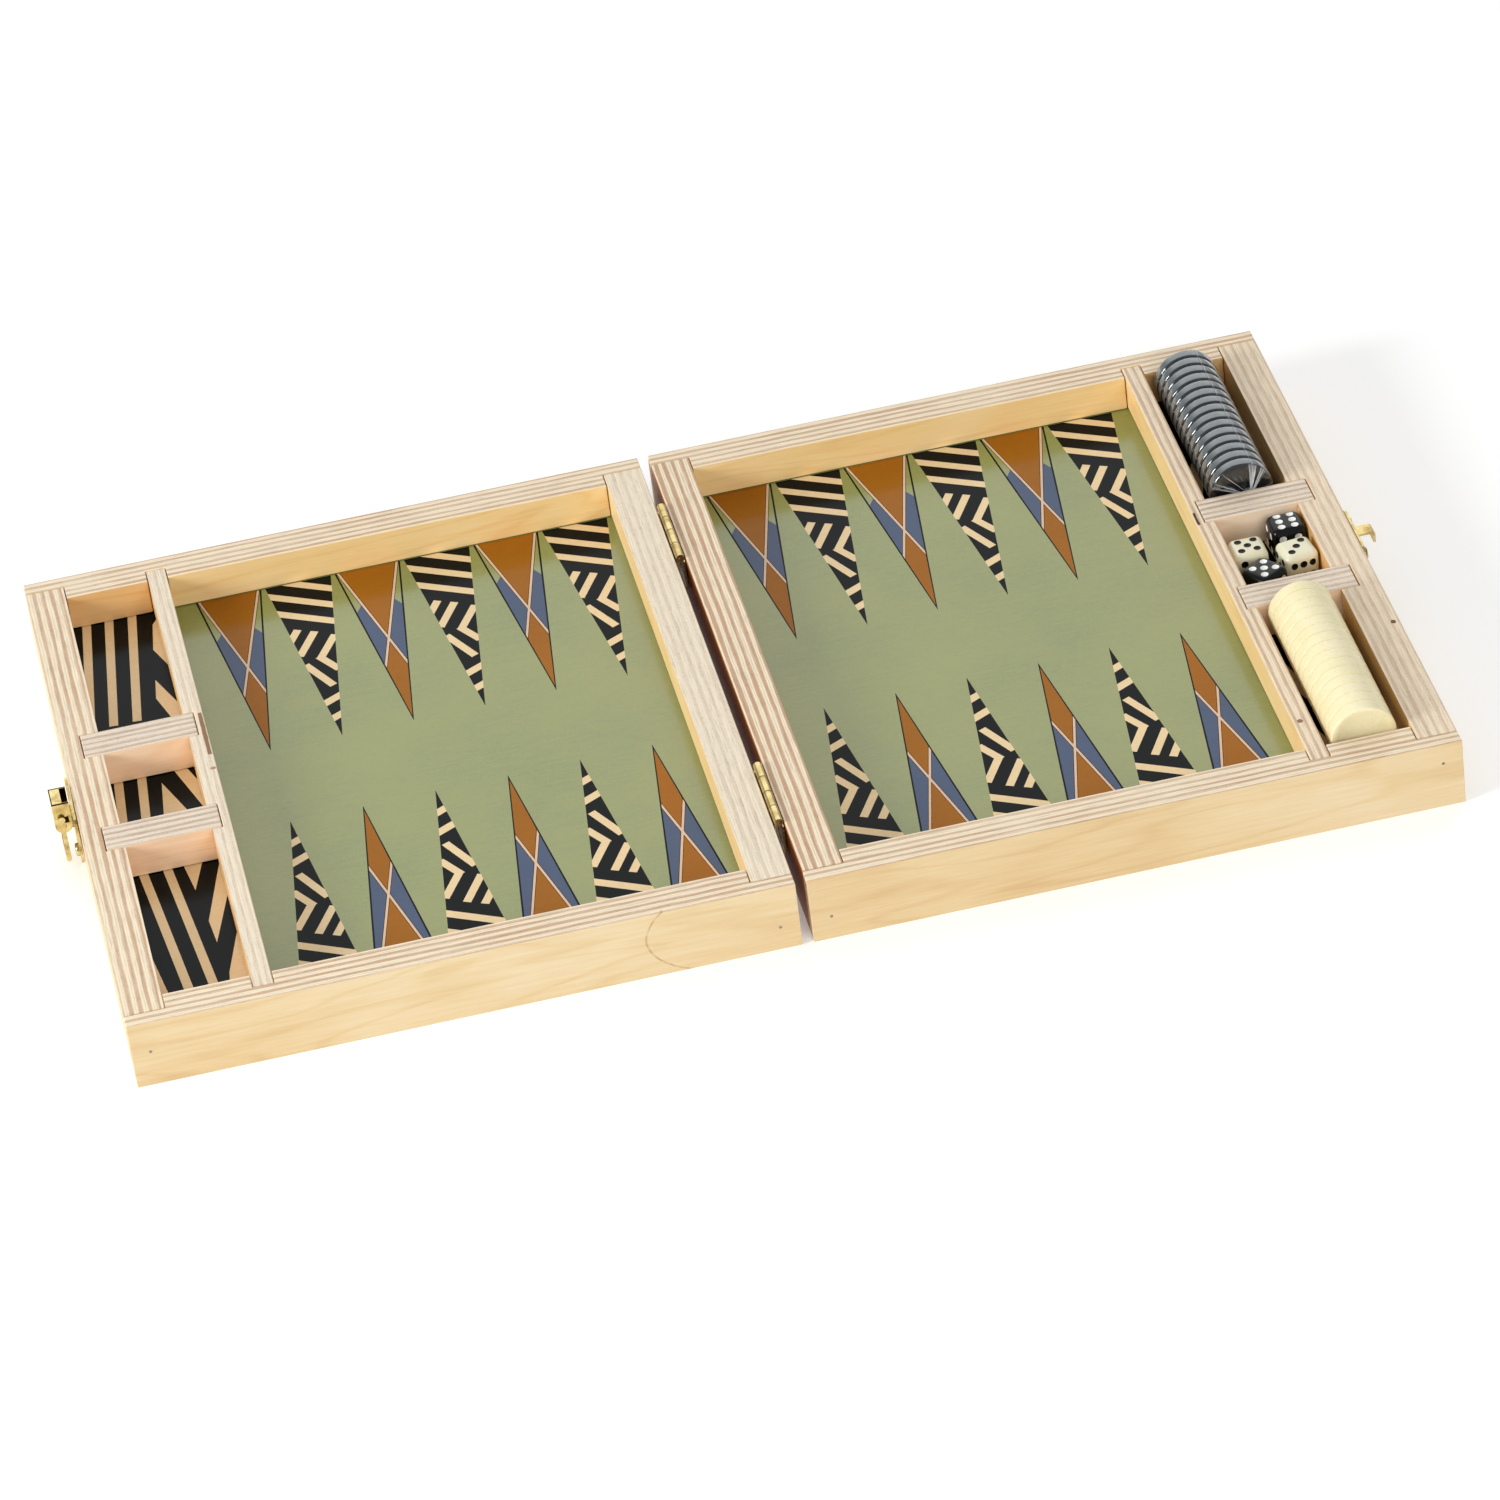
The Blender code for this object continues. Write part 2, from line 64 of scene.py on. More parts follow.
def disc_radius(node):
    low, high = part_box(node)
    return (high.z - low.z) / 2


def middle_of(node):
    low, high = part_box(node)
    return (low + high) / 2


FLOOR_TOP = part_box("left_floor_panel")[1].z
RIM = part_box("left_back_rail")[1].z
WELL_Y, FRONT_Y = near_far("left_back_rail", 1)
SPINE_OUT, SPINE_IN = near_far("left_spine_side", 0)
SIDE_IN, SIDE_OUT = near_far("left_outer_side", 0)
DIVIDER_IN, TRAY_IN = near_far("left_tray_divider", 0)


# ---- material helpers


def colour(code):
    """Linear RGBA from a hexadecimal sRGB code."""
    parts = [int(code[index : index + 2], 16) / 255 for index in (0, 2, 4)]
    linear = [p / 12.92 if p <= 0.04045 else ((p + 0.055) / 1.055) ** 2.4 for p in parts]
    return (*linear, 1.0)


class Shader:
    """A material whose nodes are added with short calls."""

    def __init__(self, name):
        self.material = bpy.data.materials.new(name)
        self.material.use_nodes = True
        self.tree = self.material.node_tree
        self.surface = self.tree.nodes["Principled BSDF"]
        place = self.tree.nodes.new("ShaderNodeTexCoord")
        self.place, self.normal = place.outputs["Object"], place.outputs["Normal"]

    def feed(self, socket, value):
        if isinstance(value, bpy.types.NodeSocket):
            self.tree.links.new(value, socket)
        else:
            socket.default_value = value

    def node(self, kind, inputs, **settings):
        made = self.tree.nodes.new(kind)
        for key, value in settings.items():
            setattr(made, key, value)
        for key, value in inputs.items():
            self.feed(made.inputs[key], value)
        return made

    def math(self, operation, first, second=0.0, third=0.0):
        inputs = {0: first, 1: second, 2: third}
        return self.node("ShaderNodeMath", inputs, operation=operation).outputs[0]

    def times(self, first, *others):
        """The product of two or more values."""
        for other in others:
            first = self.math("MULTIPLY", first, other)
        return first

    def plus(self, first, second):
        return self.math("ADD", first, second)

    def minus(self, first, second):
        return self.math("SUBTRACT", first, second)

    def scaled(self, value, scale, shift):
        """The value times a scale, plus a shift."""
        return self.math("MULTIPLY_ADD", value, scale, shift)

    def absolute(self, value):
        return self.math("ABSOLUTE", value)

    def above(self, value, limit):
        """1 where the value is over the limit, 0 elsewhere."""
        return self.math("GREATER_THAN", value, limit)

    def below(self, value, limit):
        """1 where the value is under the limit, 0 elsewhere."""
        return self.math("LESS_THAN", value, limit)

    def distance(self, first, second):
        """The length of the vector with these two parts."""
        squares = self.times(second, second)
        return self.math("SQRT", self.scaled(first, first, squares))

    def axes(self, vector):
        return self.node("ShaderNodeSeparateXYZ", {0: vector}).outputs

    def noise(self, scale, detail=4.0, roughness=0.55, distortion=0.0, shift=(0, 0, 0)):
        """Noise whose cells are 1 / scale metres long, with one scale for each axis or
        one for all."""
        if not isinstance(scale, tuple):
            scale = (scale, scale, scale)
        stretch = {"Vector": self.place, "Location": shift, "Scale": scale}
        inputs = {
            "Vector": self.node("ShaderNodeMapping", stretch).outputs[0],
            "Scale": 1.0,
            "Detail": detail,
            "Roughness": roughness,
            "Distortion": distortion,
        }
        return self.node("ShaderNodeTexNoise", inputs).outputs[0]

    def ramp(self, factor, *stops, smooth=False):
        """A colour or grey ramp over (position, colour or grey value) stops."""
        made = self.node("ShaderNodeValToRGB", {0: factor})
        made.color_ramp.interpolation = "EASE" if smooth else "LINEAR"
        elements = made.color_ramp.elements
        while len(elements) < len(stops):
            elements.new(0.5)
        for element, (position, value) in zip(elements, stops):
            element.position = position
            element.color = value if isinstance(value, tuple) else (value, value, value, 1.0)
        return made.outputs[0]

    def band(self, value, low, high, soft):
        """1 between low and high, with soft edges."""
        ends = []
        for limit, before, after in ((low, 0.0, 1.0), (high, 1.0, 0.0)):
            inputs = {0: value, 1: limit - soft, 2: limit + soft, 3: before, 4: after}
            ends.append(self.node("ShaderNodeMapRange", inputs).outputs[0])
        return self.times(*ends)

    def mix(self, factor, first, second, blend="MIX"):
        made = self.node("ShaderNodeMix", {}, data_type="RGBA", blend_type=blend)
        for index, value in ((0, factor), (6, first), (7, second)):
            self.feed(made.inputs[index], value)
        return made.outputs[2]

    def bump(self, height, distance, strength):
        inputs = {"Height": height, "Distance": distance, "Strength": strength}
        return self.node("ShaderNodeBump", inputs).outputs[0]

    def around(self, node):
        """Distances from a CAD node's own axis along Y: to the right of it, and above it."""
        middle = middle_of(node)
        x, _, z = self.axes(self.place)
        return self.minus(x, middle.x), self.minus(z, middle.z)

    def finish(self, **inputs):
        """Sets the Principled sockets, where an underscore stands for a space."""
        for key, value in inputs.items():
            self.feed(self.surface.inputs[key.replace("_", " ")], value)
        return self.material


def set_material(piece, *materials):
    """Replaces a piece's materials, slot by slot."""
    slots = piece.data.materials
    for index, material in enumerate(materials):
        if index < len(slots):
            slots[index] = material
        else:
            slots.append(material)


# ---- plywood

VENEER = {  # pale, middle and deep tone
    "outer": ("E1CDA8", "D9BF90", "CAA674"),
    "inner": ("FBE3B2", "F8D596", "E9BC78"),
    "tray": ("F6D198", "ECB972", "D69C54"),
    # partition: the partitions' faces towards the front; their paler tone is partly painted light
    # from the front
    "partition": ("FFEED6", "FADBB9", "EDC49B"),
    # fold: the spine's faces in the gap between the halves; their darker, redder tone is partly
    # painted shade of the gap
    "fold": ("D4914F", "B6753D", "94582B"),
}
PLIES = {  # light ply, dark ply
    "cream": ("F1E2C6", "C9A685"),
    "beige": ("EEDDC2", "CBAD8E"),
    "pale": ("EDE0C9", "D5C0A5"),
    "dusty": ("E8DAC6", "BFA690"),
}
GLUE = "A8835F"
PLY_ROUGHNESS, VENEER_ROUGHNESS = 0.62, 0.42
BOARD_EDGE, BRASS_EDGE = 0.3 * MM, 0.12 * MM  # widths of softened edges


def plywood(name, stack, near, far, plies, tint, contrast, near_face, far_face, marks=()):
    """Birch plywood whose plies are stacked along an axis, between two distances from
    the origin. Faces across the stack show the named veneers, nearest first, and all
    others the ply edges. Each mark is a mask function with its colour."""
    shader = Shader(name)
    seed = random.Random(name).uniform(0, 40)
    shift = (seed, seed * 0.7, seed * 1.3)
    along, across = (axis for axis in range(3) if axis != stack)
    position = shader.axes(shader.place)
    distance = shader.absolute(position[stack])
    depth = shader.math("DIVIDE", shader.minus(distance, near), far - near)

    def cells(lengthwise, through, crosswise):
        scale = [0, 0, 0]
        scale[along], scale[stack], scale[across] = lengthwise, through, crosswise
        return tuple(scale)

    # Ply edges: light plies with long fibres between darker ones cut across
    sway = shader.noise(cells(30, 400, 400), 4.0, 0.6, shift=shift)
    fibres = shader.noise(cells(130, 2200, 2200), 5.0, 0.65, shift=shift)
    pores = shader.noise(1400, 3.0, 0.75, shift=shift)
    stains = shader.noise(34, 3.0, shift=shift)
    phase = shader.times(depth, float(plies))
    phase = shader.scaled(shader.minus(sway, 0.5), 1.1, phase)
    wave = shader.scaled(shader.math("COSINE", shader.times(phase, math.pi)), -0.5, 0.5)
    dark_ply = shader.ramp(wave, (0.3, 0.0), (0.8, 1.0), smooth=True)
    ply = shader.plus(shader.math("FLOOR", phase), seed)
    chance = shader.node("ShaderNodeTexWhiteNoise", {"W": ply}, noise_dimensions="1D").outputs[0]
    in_ply = shader.math("FRACT", phase)
    glue = shader.minus(1.0, shader.band(in_ply, 0.06, 0.94, 0.04))
    uneven = shader.scaled(chance, 0.45, shader.times(stains, 0.9))
    level = shader.times(uneven, 1.15 * contrast, dark_ply)
    light, dark = (colour(code) for code in PLIES[tint])
    edge = shader.mix(level, light, dark)
    glue = shader.times(sway, 0.5 * contrast, glue)
    edge = shader.mix(glue, edge, colour(GLUE))
    streaks = shader.ramp(fibres, (0.3, 0.78), (0.47, 0.98), (0.7, 1.09))
    edge = shader.mix(1.0, edge, streaks, "MULTIPLY")
    specks = shader.ramp(pores, (0.3, 0.55), (0.46, 1.0))
    rough_cut = 0.35 if tint == "dusty" else 0.12
    edge = shader.mix(shader.scaled(dark_ply, 0.45, rough_cut), edge, specks, "MULTIPLY")

    # Veneer: rotary-cut birch, paler outside than inside
    figure = shader.noise(cells(5, 50, 40), 2.0, 0.5, 0.6, shift=shift)
    rings = shader.math("SINE", shader.times(figure, 60.0))
    rings = shader.math("POWER", shader.scaled(rings, 0.5, 0.5), 5.0)
    hairs = shader.noise(cells(40, 300, 900), 6.0, 0.7, 0.2, shift=shift)
    cloud = shader.noise((14, 14, 22), 3.0, shift=shift)
    tone = shader.scaled(rings, 0.13, shader.times(hairs, 0.55))
    tone = shader.scaled(cloud, 0.6, shader.minus(tone, 0.12))
    faces = []
    for face in (near_face, far_face):
        pale, middle, deep = (colour(code) for code in VENEER[face])
        faces.append(shader.ramp(tone, (0.25, pale), (0.5, middle), (0.85, deep)))
    veneer = shader.mix(shader.above(depth, 0.5), *faces)

    facing = shader.absolute(shader.axes(shader.normal)[stack])
    on_face = shader.above(facing, 0.75)
    surface = shader.mix(on_face, edge, veneer)
    for mask, shade in marks:
        surface = shader.mix(mask(shader, position), surface, shade)

    relief = shader.scaled(dark_ply, -0.6, shader.times(fibres, 0.8))
    relief = shader.mix(on_face, relief, hairs)
    return shader.finish(
        Base_Color=surface,
        Roughness=shader.scaled(on_face, VENEER_ROUGHNESS - PLY_ROUGHNESS, PLY_ROUGHNESS),
        Normal=shader.bump(relief, 0.05 * MM, 0.6),
        Specular_IOR_Level=0.4,
    )


def soften(node, width):
    """Rounds the edges of a CAD node without touching its mesh."""
    weld = node.modifiers.new("weld", "WELD")
    weld.merge_threshold = 0.01 * MM  # the CAD's faces don't share corners
    edges = node.modifiers.new("edges", "BEVEL")
    edges.width = width
    edges.segments = 2
    edges.limit_method = "ANGLE"
    edges.angle_limit = math.radians(40)
    edges.use_clamp_overlap = True


def gap_shade_mark(low_y, high_y, x, width, code):
    """Painted shade of an open gap in the core ply along a tray divider's rim."""

    def mask(shader, position):
        ragged = shader.noise((500, 300, 1), 3.0)
        middle = shader.scaled(ragged, 0.5 * MM, x - 0.25 * MM)
        across = shader.absolute(shader.minus(position[0], middle))
        line = shader.band(across, -1.0, width / 2, 0.08 * MM)
        inside = shader.band(position[1], low_y, high_y, 0.2 * MM)
        top = shader.above(position[2], RIM - 1.5 * MM)
        return shader.times(line, inside, top)

    return mask, colour(code)


def knot_mark(x, y, size, code):
    """A small dark spot in a rim."""

    def mask(shader, position):
        place = shader.node(
            "ShaderNodeVectorMath", {0: shader.place, 1: (x, y, RIM)}, operation="DISTANCE"
        ).outputs["Value"]
        ragged = shader.times(shader.noise(900, 2.0), size)
        return shader.below(shader.minus(place, ragged), size * 0.45)

    return mask, colour(code)


def patch_mark(centre_x, centre_z, half_x, half_z, end_x, code):
    """The round end of an oval veneer patch let into the front face."""

    def mask(shader, position):
        across = shader.math("DIVIDE", shader.minus(position[0], centre_x), half_x)
        up = shader.math("DIVIDE", shader.minus(position[2], centre_z), half_z)
        wobble = shader.noise(220, 3.0)
        radius = shader.scaled(wobble, 0.03, shader.distance(up, across))
        line = shader.band(radius, 1.005, 1.025, 0.012)
        kept = shader.below(position[0], end_x)
        ragged = shader.ramp(shader.noise(400, 2.0), (0.35, 0.25), (0.6, 0.9))
        front = shader.below(position[1], 1.02 * MM - FRONT_Y)
        return shader.times(line, kept, ragged, front)

    return mask, colour(code)


def tray_mark(amount, code):
    """The rail's part inside a tray, whose veneer is redder."""

    def mask(shader, position):
        out = shader.absolute(position[0])
        beyond = shader.above(out, TRAY_IN - 1 * MM)
        in_tray = shader.below(out, SIDE_IN + 1 * MM)
        inner = shader.below(shader.absolute(position[1]), WELL_Y + 0.2 * MM)
        wall = shader.band(position[2], FLOOR_TOP, RIM - 0.1 * MM, 0.01 * MM)
        return shader.times(wall, amount, beyond, in_tray, inner)

    return mask, colour(code)


BOARDS = {  # board: stack axis, plies, veneers of the near and the far face
    "back_rail": (1, 9, "inner", "outer"),
    "front_rail": (1, 9, "inner", "outer"),
    "outer_side": (0, 9, "tray", "outer"),
    "spine_side": (0, 9, "fold", "inner"),
    "tray_divider": (0, 5, "inner", "tray"),
    "back_partition": (1, 9, "partition", "tray"),
    "front_partition": (1, 9, "tray", "partition"),
}
TINTS = {  # boards whose ply edges differ from the strong cream ones
    "left_spine_side": ("pale", 0.55),
    "left_tray_divider": ("pale", 0.6),
    "left_back_partition": ("dusty", 0.9),
    "left_front_partition": ("dusty", 0.8),
    "right_outer_side": ("beige", 0.65),
    "right_spine_side": ("cream", 1.6),
    "right_tray_divider": ("beige", 1.0),
    "right_back_partition": ("dusty", 0.85),
    "right_front_partition": ("dusty", 0.85),
}
MARKS = {
    "left_tray_divider": [
        gap_shade_mark(7 * MM, 30 * MM, -157.9 * MM, 1.3 * MM, "8C6A48"),
        knot_mark(-158.1 * MM, -0.5 * MM, 0.9 * MM, "B98468"),
    ],
    "right_tray_divider": [
        gap_shade_mark(18 * MM, 25 * MM, 157.6 * MM, 0.8 * MM, "4A2C18"),
        knot_mark(159.2 * MM, -93.5 * MM, 1.0 * MM, "8F6D55"),
        knot_mark(155.0 * MM, 24.2 * MM, 1.2 * MM, "9A765E"),
    ],
    "right_outer_side": [knot_mark(199.6 * MM, -53.8 * MM, 0.9 * MM, "6B4A33")],
    "left_back_rail": [tray_mark(0.4, "C4823C")],
    "right_back_rail": [tray_mark(0.4, "C4823C")],
    "left_front_rail": [patch_mark(-25 * MM, 13 * MM, 22.5 * MM, 14.5 * MM, -33 * MM, "A97B3C")],
}


def dress_boards():
    """Materials and soft edges for the plywood of both halves."""
    for side in SIDES:
        for board, (stack, plies, *faces) in BOARDS.items():
            name = f"{side}_{board}"
            near, far = near_far(name, stack)
            tint, contrast = TINTS.get(name, ("cream", 1.0))
            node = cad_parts[name]
            material = plywood(
                f"{name}_birch", stack, near, far, plies, tint, contrast, *faces,
                marks=MARKS.get(name, ()),
            )
            set_material(node, material)
            soften(node, BOARD_EDGE)


# ---- printed floors

INKS = {
    "field": "828B4C",
    "black": "070B0C",
    "tan": "E4CA9C",
    "rust": "9C600F",
    "slate": "43536F",
    "cream": "DAB899",
}
VARNISH = {  # refractive index and specular level
    "field": (1.7, 0.5),
    "black": (1.5, 0.08),
    "rust": (1.5, 0.1),
}
PLAIN_VARNISH = (1.5, 0.22)
THIN_INK = "8C8C46"
BARE_SHARE = {1: 0.28, -1: 0.13}  # of a point's length without slate: back, front row

# The print's sizes, in millimetres
POINT_PITCH = 22.55
POINT_LENGTH = 88.6
POINT_HALF_BASE = 10.75
OUTLINE = 0.28
PRINT_MIDDLE = {"left": -82.5, "right": 84.2}
PAST_WALL = 3  # how far it runs on beneath a board
TRAY_STRIPE = 2.8


def ink_material(name, code):
    """Ink on a fine weave under varnish."""
    shader = Shader(f"print_{name}")
    warp = shader.noise((260, 2400, 1), 3.0, 0.6)
    weft = shader.noise((2400, 260, 1), 3.0, 0.6)
    cloud = shader.noise((22, 22, 1), 3.0)
    slub = shader.noise((60, 900, 1), 4.0, 0.7)
    weave = shader.plus(warp, weft)
    tone = shader.scaled(cloud, 1.4, weave)
    tone = shader.scaled(slub, 0.8, tone)
    spread = 0.15 if name == "field" else 0.1
    tone = shader.math("DIVIDE", tone, 4.2)
    shade = shader.ramp(tone, (0.36, 1.0 - spread), (0.6, 1.0 + spread))
    base = shader.mix(1.0, colour(code), shade, "MULTIPLY")
    if name == "field":  # yellower where the ink is thin
        thin = shader.ramp(shader.plus(slub, cloud), (0.95, 0.0), (1.25, 0.35))
        base = shader.mix(thin, base, colour(THIN_INK))
    gloss = shader.ramp(weave, (0.6, 0.12), (1.0, 0.2))
    index, level = VARNISH.get(name, PLAIN_VARNISH)
    return shader.finish(
        Base_Color=base,
        Roughness=gloss,
        IOR=index,
        Specular_IOR_Level=level,
        Normal=shader.bump(weave, 0.02 * MM, 0.12),
    )


def strip(start, end, width):
    """Corners of a straight band between two points."""
    a, b = Vector(start), Vector(end)
    side = (b - a).normalized().orthogonal() * width / 2
    return [a + side, b + side, b - side, a - side]


def rectangle(x, y, far_x, far_y):
    return [(x, y), (far_x, y), (far_x, far_y), (x, far_y)]


def striped_point():
    """Shapes inside a striped point, in millimetres: across, and from the base inwards."""
    bars = [((-14, start), (14, start + 17.1), 3.1) for start in (-7.1, 2.7, 12.5)]
    for across, start in ((-4.3, 26.5), (0.7, 29.2)):  # bars that lean towards the base
        bars.append(((across, start), (across - 6.6, start + 12.2), 2.6))
    bars += [  # an angle, then a bar that leans the other way
        ((6.6, 33.2), (0.4, 44.4), 2.6),
        ((-0.2, 43.5), (4.9, 52.4), 2.6),
        ((-5.0, 46.6), (1.8, 60.6), 2.6),
    ]
    for start in (68.2, 77.6):  # short bars near the tip
        bars.append(((-4, start + 2.2), (4, start - 2.2), 3.1))
    return [strip(*bar) for bar in bars]


def point_shapes(striped, bare):
    """Every inked shape of one point, in painting order, as (outline, ink). The slate
    stops short of the base by the bare share of the point's length."""
    length, half, edge = POINT_LENGTH, POINT_HALF_BASE, OUTLINE
    base = -1.0  # beneath the rail, where the point's limits cut it off
    shapes = [([(-half, base), (half, base), (0, length)], "black")]
    if striped:
        return shapes + [(outline, "tan") for outline in striped_point()]
    cross, meet, sliver = 0.48 * length, 0.662 * length, bare * length
    corner = half - 1.2
    slope = corner / cross
    limit = half * (1 - meet / length)
    inner, tip = half - 2 * edge, length - length / half * edge * 1.6
    shapes.append(([(-inner, base), (inner, base), (0, tip)], "field"))
    for side in (-1, 1):
        top = (side * (half * (1 - sliver / length)), sliver)
        inward = (side * slope * (cross - 0.8 * sliver), 0.8 * sliver)
        shapes.append(([top, inward, (0, cross), (side * limit, meet)], "slate"))
    shapes.append(([(-corner, base), (corner, base), (0, cross)], "rust"))
    shapes.append(([(0, cross), (limit, meet), (0, length), (-limit, meet)], "rust"))
    for ink, width in (("black", 1.15), ("cream", 0.75)):
        for side in (-1, 1):
            shapes.append((strip((-side * corner, 0.0), (side * limit * 1.1, meet), width), ink))
    for side in (-1, 1):
        line = strip((side * (half - edge), base), (0, length - 0.5), 2 * edge)
        shapes.append((line, "black"))
    return shapes


def field_shapes(side):
    """The points of both rows of one half. Each is (limits, shapes): shapes show only
    inside the limits."""
    groups = []
    for facing in (1, -1):
        base_y = facing * WELL_Y / MM
        for number in range(6):
            tip_x = PRINT_MIDDLE[side] + (number - 2.5) * POINT_PITCH

            def placed(outline, tip_x=tip_x, base_y=base_y, facing=facing):
                return [(tip_x + facing * x, base_y - facing * y) for x, y in outline]

            striped = (number % 2 == 1) == (facing == 1)
            limits = [(-POINT_HALF_BASE, 0), (POINT_HALF_BASE, 0), (0, POINT_LENGTH)]
            shapes = point_shapes(striped, BARE_SHARE[facing])
            groups.append((placed(limits), [(placed(line), ink) for line, ink in shapes]))
    return groups


def tray_shapes(side):
    """Stripes and wedges on the floor of a tray, in millimetres as in the left half."""
    sign = SIDES[side]
    near, far = (DIVIDER_IN + TRAY_IN) / 2 / MM, SIDE_IN / MM + PAST_WALL
    reach = WELL_Y / MM + PAST_WALL
    limits = rectangle(sign * near, -reach, sign * far, reach)
    outlines = []
    for x in (183.9, 176.7, 169.3):  # back compartment
        outlines.append(strip((-x - 0.2, 114), (-x - 7.2, 50), TRAY_STRIPE))
    outlines += [
        [(-164.4, 101), (-166.2, 87), (-159, 66), (-159, 110)],
        [(-167.9, 70.2), (-169.1, 60), (-161, 30), (-158, 42)],
    ]
    for top, bottom in ((186.5, 188.6), (179.2, 181.5)):  # middle compartment
        outlines.append(strip((-top, 22), (-bottom, -8), TRAY_STRIPE))
    outlines += [
        [(-173.8, 14.5), (-175.9, -6), (-167, -6)],
        [(-169.6, 21), (-165.6, 21), (-156, -10), (-160, -14)],
    ]
    for top in (186.4, 179.0):  # front compartment
        outlines.append(strip((-top, -24), (-top + 6.6, -104), TRAY_STRIPE))
    outlines += [
        [(-173.8, -28), (-167.0, -28), (-171.8, -44.1)],
        [(-160, -22), (-160, -40), (-169.4, -72.2), (-170.2, -60.7)],
        [(-161, -62), (-161, -112), (-169, -96), (-168, -88)],
        [(-191, -58), (-186, -100), (-191, -112)],
    ]
    tan = [([(-sign * x, y) for x, y in outline], "tan") for outline in outlines]
    return [(limits, [(limits, "black")] + tan)]


def print_cells(groups, panel_outline):
    """Splits overlapping flat shapes into cells. Returns corner points and, for each
    cell, (corners, ink), painted with the last shape that covers it."""
    points, faces, owners = [], [], []

    def add(outline, owner):
        turns = zip(outline, outline[1:] + outline[:1])
        if sum(a[0] * b[1] - a[1] * b[0] for a, b in turns) < 0:
            outline = outline[::-1]
        faces.append(list(range(len(points), len(points) + len(outline))))
        points.extend(Vector(p).to_2d() for p in outline)
        owners.append(owner)

    add(panel_outline, (None, "field"))
    for limits, shapes in groups:
        limit_face = len(faces)
        add(limits, (limit_face, None))
        for outline, ink in shapes:
            add(outline, (limit_face, ink))
    inside_only, smallest = 1, 1e-4
    split = delaunay_2d_cdt(points, [], faces, inside_only, smallest, True)
    corners, cells, covered = split[0], split[2], split[5]
    painted = []
    for cell, cover in zip(cells, covered):
        ink = "field"
        for face in sorted(cover):
            limit, name = owners[face]
            if name and (limit is None or limit in cover):
                ink = name
        painted.append((cell, ink))
    return corners, painted


def printed_floor(side, materials):
    """The floor panel with its print as part of its top face."""
    node = f"{side}_floor_panel"
    low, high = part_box(node)
    outline = rectangle(low.x / MM, low.y / MM, high.x / MM, high.y / MM)
    corners, cells = print_cells(field_shapes(side) + tray_shapes(side), outline)
    shape = bmesh.new()
    top = [shape.verts.new((x * MM, y * MM, high.z)) for x, y in corners]
    inks = list(INKS)
    for cell, ink in cells:
        face = shape.faces.new([top[index] for index in cell])
        face.material_index = inks.index(ink)
    rim = [edge for edge in shape.edges if edge.is_boundary]
    walls = bmesh.ops.extrude_edge_only(shape, edges=rim)["geom"]
    for item in walls:
        if isinstance(item, bmesh.types.BMVert):
            item.co.z = low.z
    bottom = [edge for edge in shape.edges if edge.is_boundary]
    closing = bmesh.ops.contextual_create(shape, geom=bottom)["faces"]
    for face in closing + [f for f in shape.faces if abs(f.normal.z) < 0.5]:
        face.material_index = len(inks)
    bmesh.ops.recalc_face_normals(shape, faces=shape.faces)
    body = f"{side}_case"
    panel = mesh_piece(f"{side}_printed_floor", shape, body, materials)
    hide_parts(node)


# ---- piece helpers


def in_scene(name, data):
    """An object in the scene that shows a mesh, a lamp or a camera."""
    made = bpy.data.objects.new(name, data)
    bpy.context.scene.collection.objects.link(made)
    return made


def to_mesh(name, shape):
    """A mesh from a bmesh, which is used up."""
    mesh = bpy.data.meshes.new(name)
    shape.to_mesh(mesh)
    shape.free()
    return mesh


def mesh_piece(name, shape, body, materials, sharp=35):
    """An object from a bmesh in the row frame, riding on a body. Edges that turn by more
    than the sharp angle, in degrees, are shaded hard."""
    mesh = to_mesh(name, shape)
    mesh.shade_smooth()
    mesh.set_sharp_from_angle(angle=math.radians(sharp))
    piece = in_scene(name, mesh)
    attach(piece, body)
    set_material(piece, *materials)
    return piece


def lathe(profile, segments, matrix=Matrix.Identity(4), shape=None):
    """A closed solid turned about local Z from (radius, z) pairs, bottom to top, added to
    a shape or in a new one."""
    shape = shape or bmesh.new()
    rings = []
    for radius, z in profile:
        if radius == 0:
            rings.append([shape.verts.new(matrix @ Vector((0, 0, z)))])
            continue
        angles = [math.tau * step / segments for step in range(segments)]
        rings.append([
            shape.verts.new(matrix @ Vector((radius * math.cos(a), radius * math.sin(a), z)))
            for a in angles
        ])
    for lower, upper in zip(rings, rings[1:]):
        for index in range(segments):
            after = (index + 1) % segments
            corners = [lower[index % len(lower)], lower[after % len(lower)],
                       upper[after % len(upper)], upper[index % len(upper)]]
            shape.faces.new(list(dict.fromkeys(corners)))
    bmesh.ops.recalc_face_normals(shape, faces=shape.faces)
    return shape


def bridge(shape, before, after):
    """A band of faces between two rings with equally many points."""
    for index in range(len(before)):
        following = (index + 1) % len(before)
        shape.faces.new((before[index], before[following], after[following], after[index]))


def bend(centre, radius, start, end, steps):
    """Points along an arc in a profile, in degrees."""
    angles = [math.radians(start + (end - start) * step / steps) for step in range(steps + 1)]
    return [(centre[0] + radius * math.cos(a), centre[1] + radius * math.sin(a)) for a in angles]


# ---- checkers and film

CHECKER_PLASTIC = {  # two tones, roughness, specular level, glow, coat
    "dark": ("0E151A", "090D11", 0.16, 0.5, 0.0, 1.0),
    "ivory": ("F4EAC2", "EEE2B1", 0.28, 0.5, 0.0, 0.0),
}
CHECKER_SHAPE = {  # rounding of the rim, gap between two checkers
    "dark": (1.05 * MM, 0.3 * MM),
    "ivory": (0.5 * MM, 0.05 * MM),
}
FILM_LOOK = {"dark": (0.9, 0.8), "ivory": (0.05, 0.1)}  # how milky: creases, seam
# Colour of the film's reflection, painted on the dark checkers' rims
FILM_SHEEN_PAINT = "515E63"
DISH_DEPTH, DISH_LIP, DISH_SLOPE = 0.25 * MM, 1.1 * MM, 0.6 * MM
CHECKER_SEGMENTS = 72


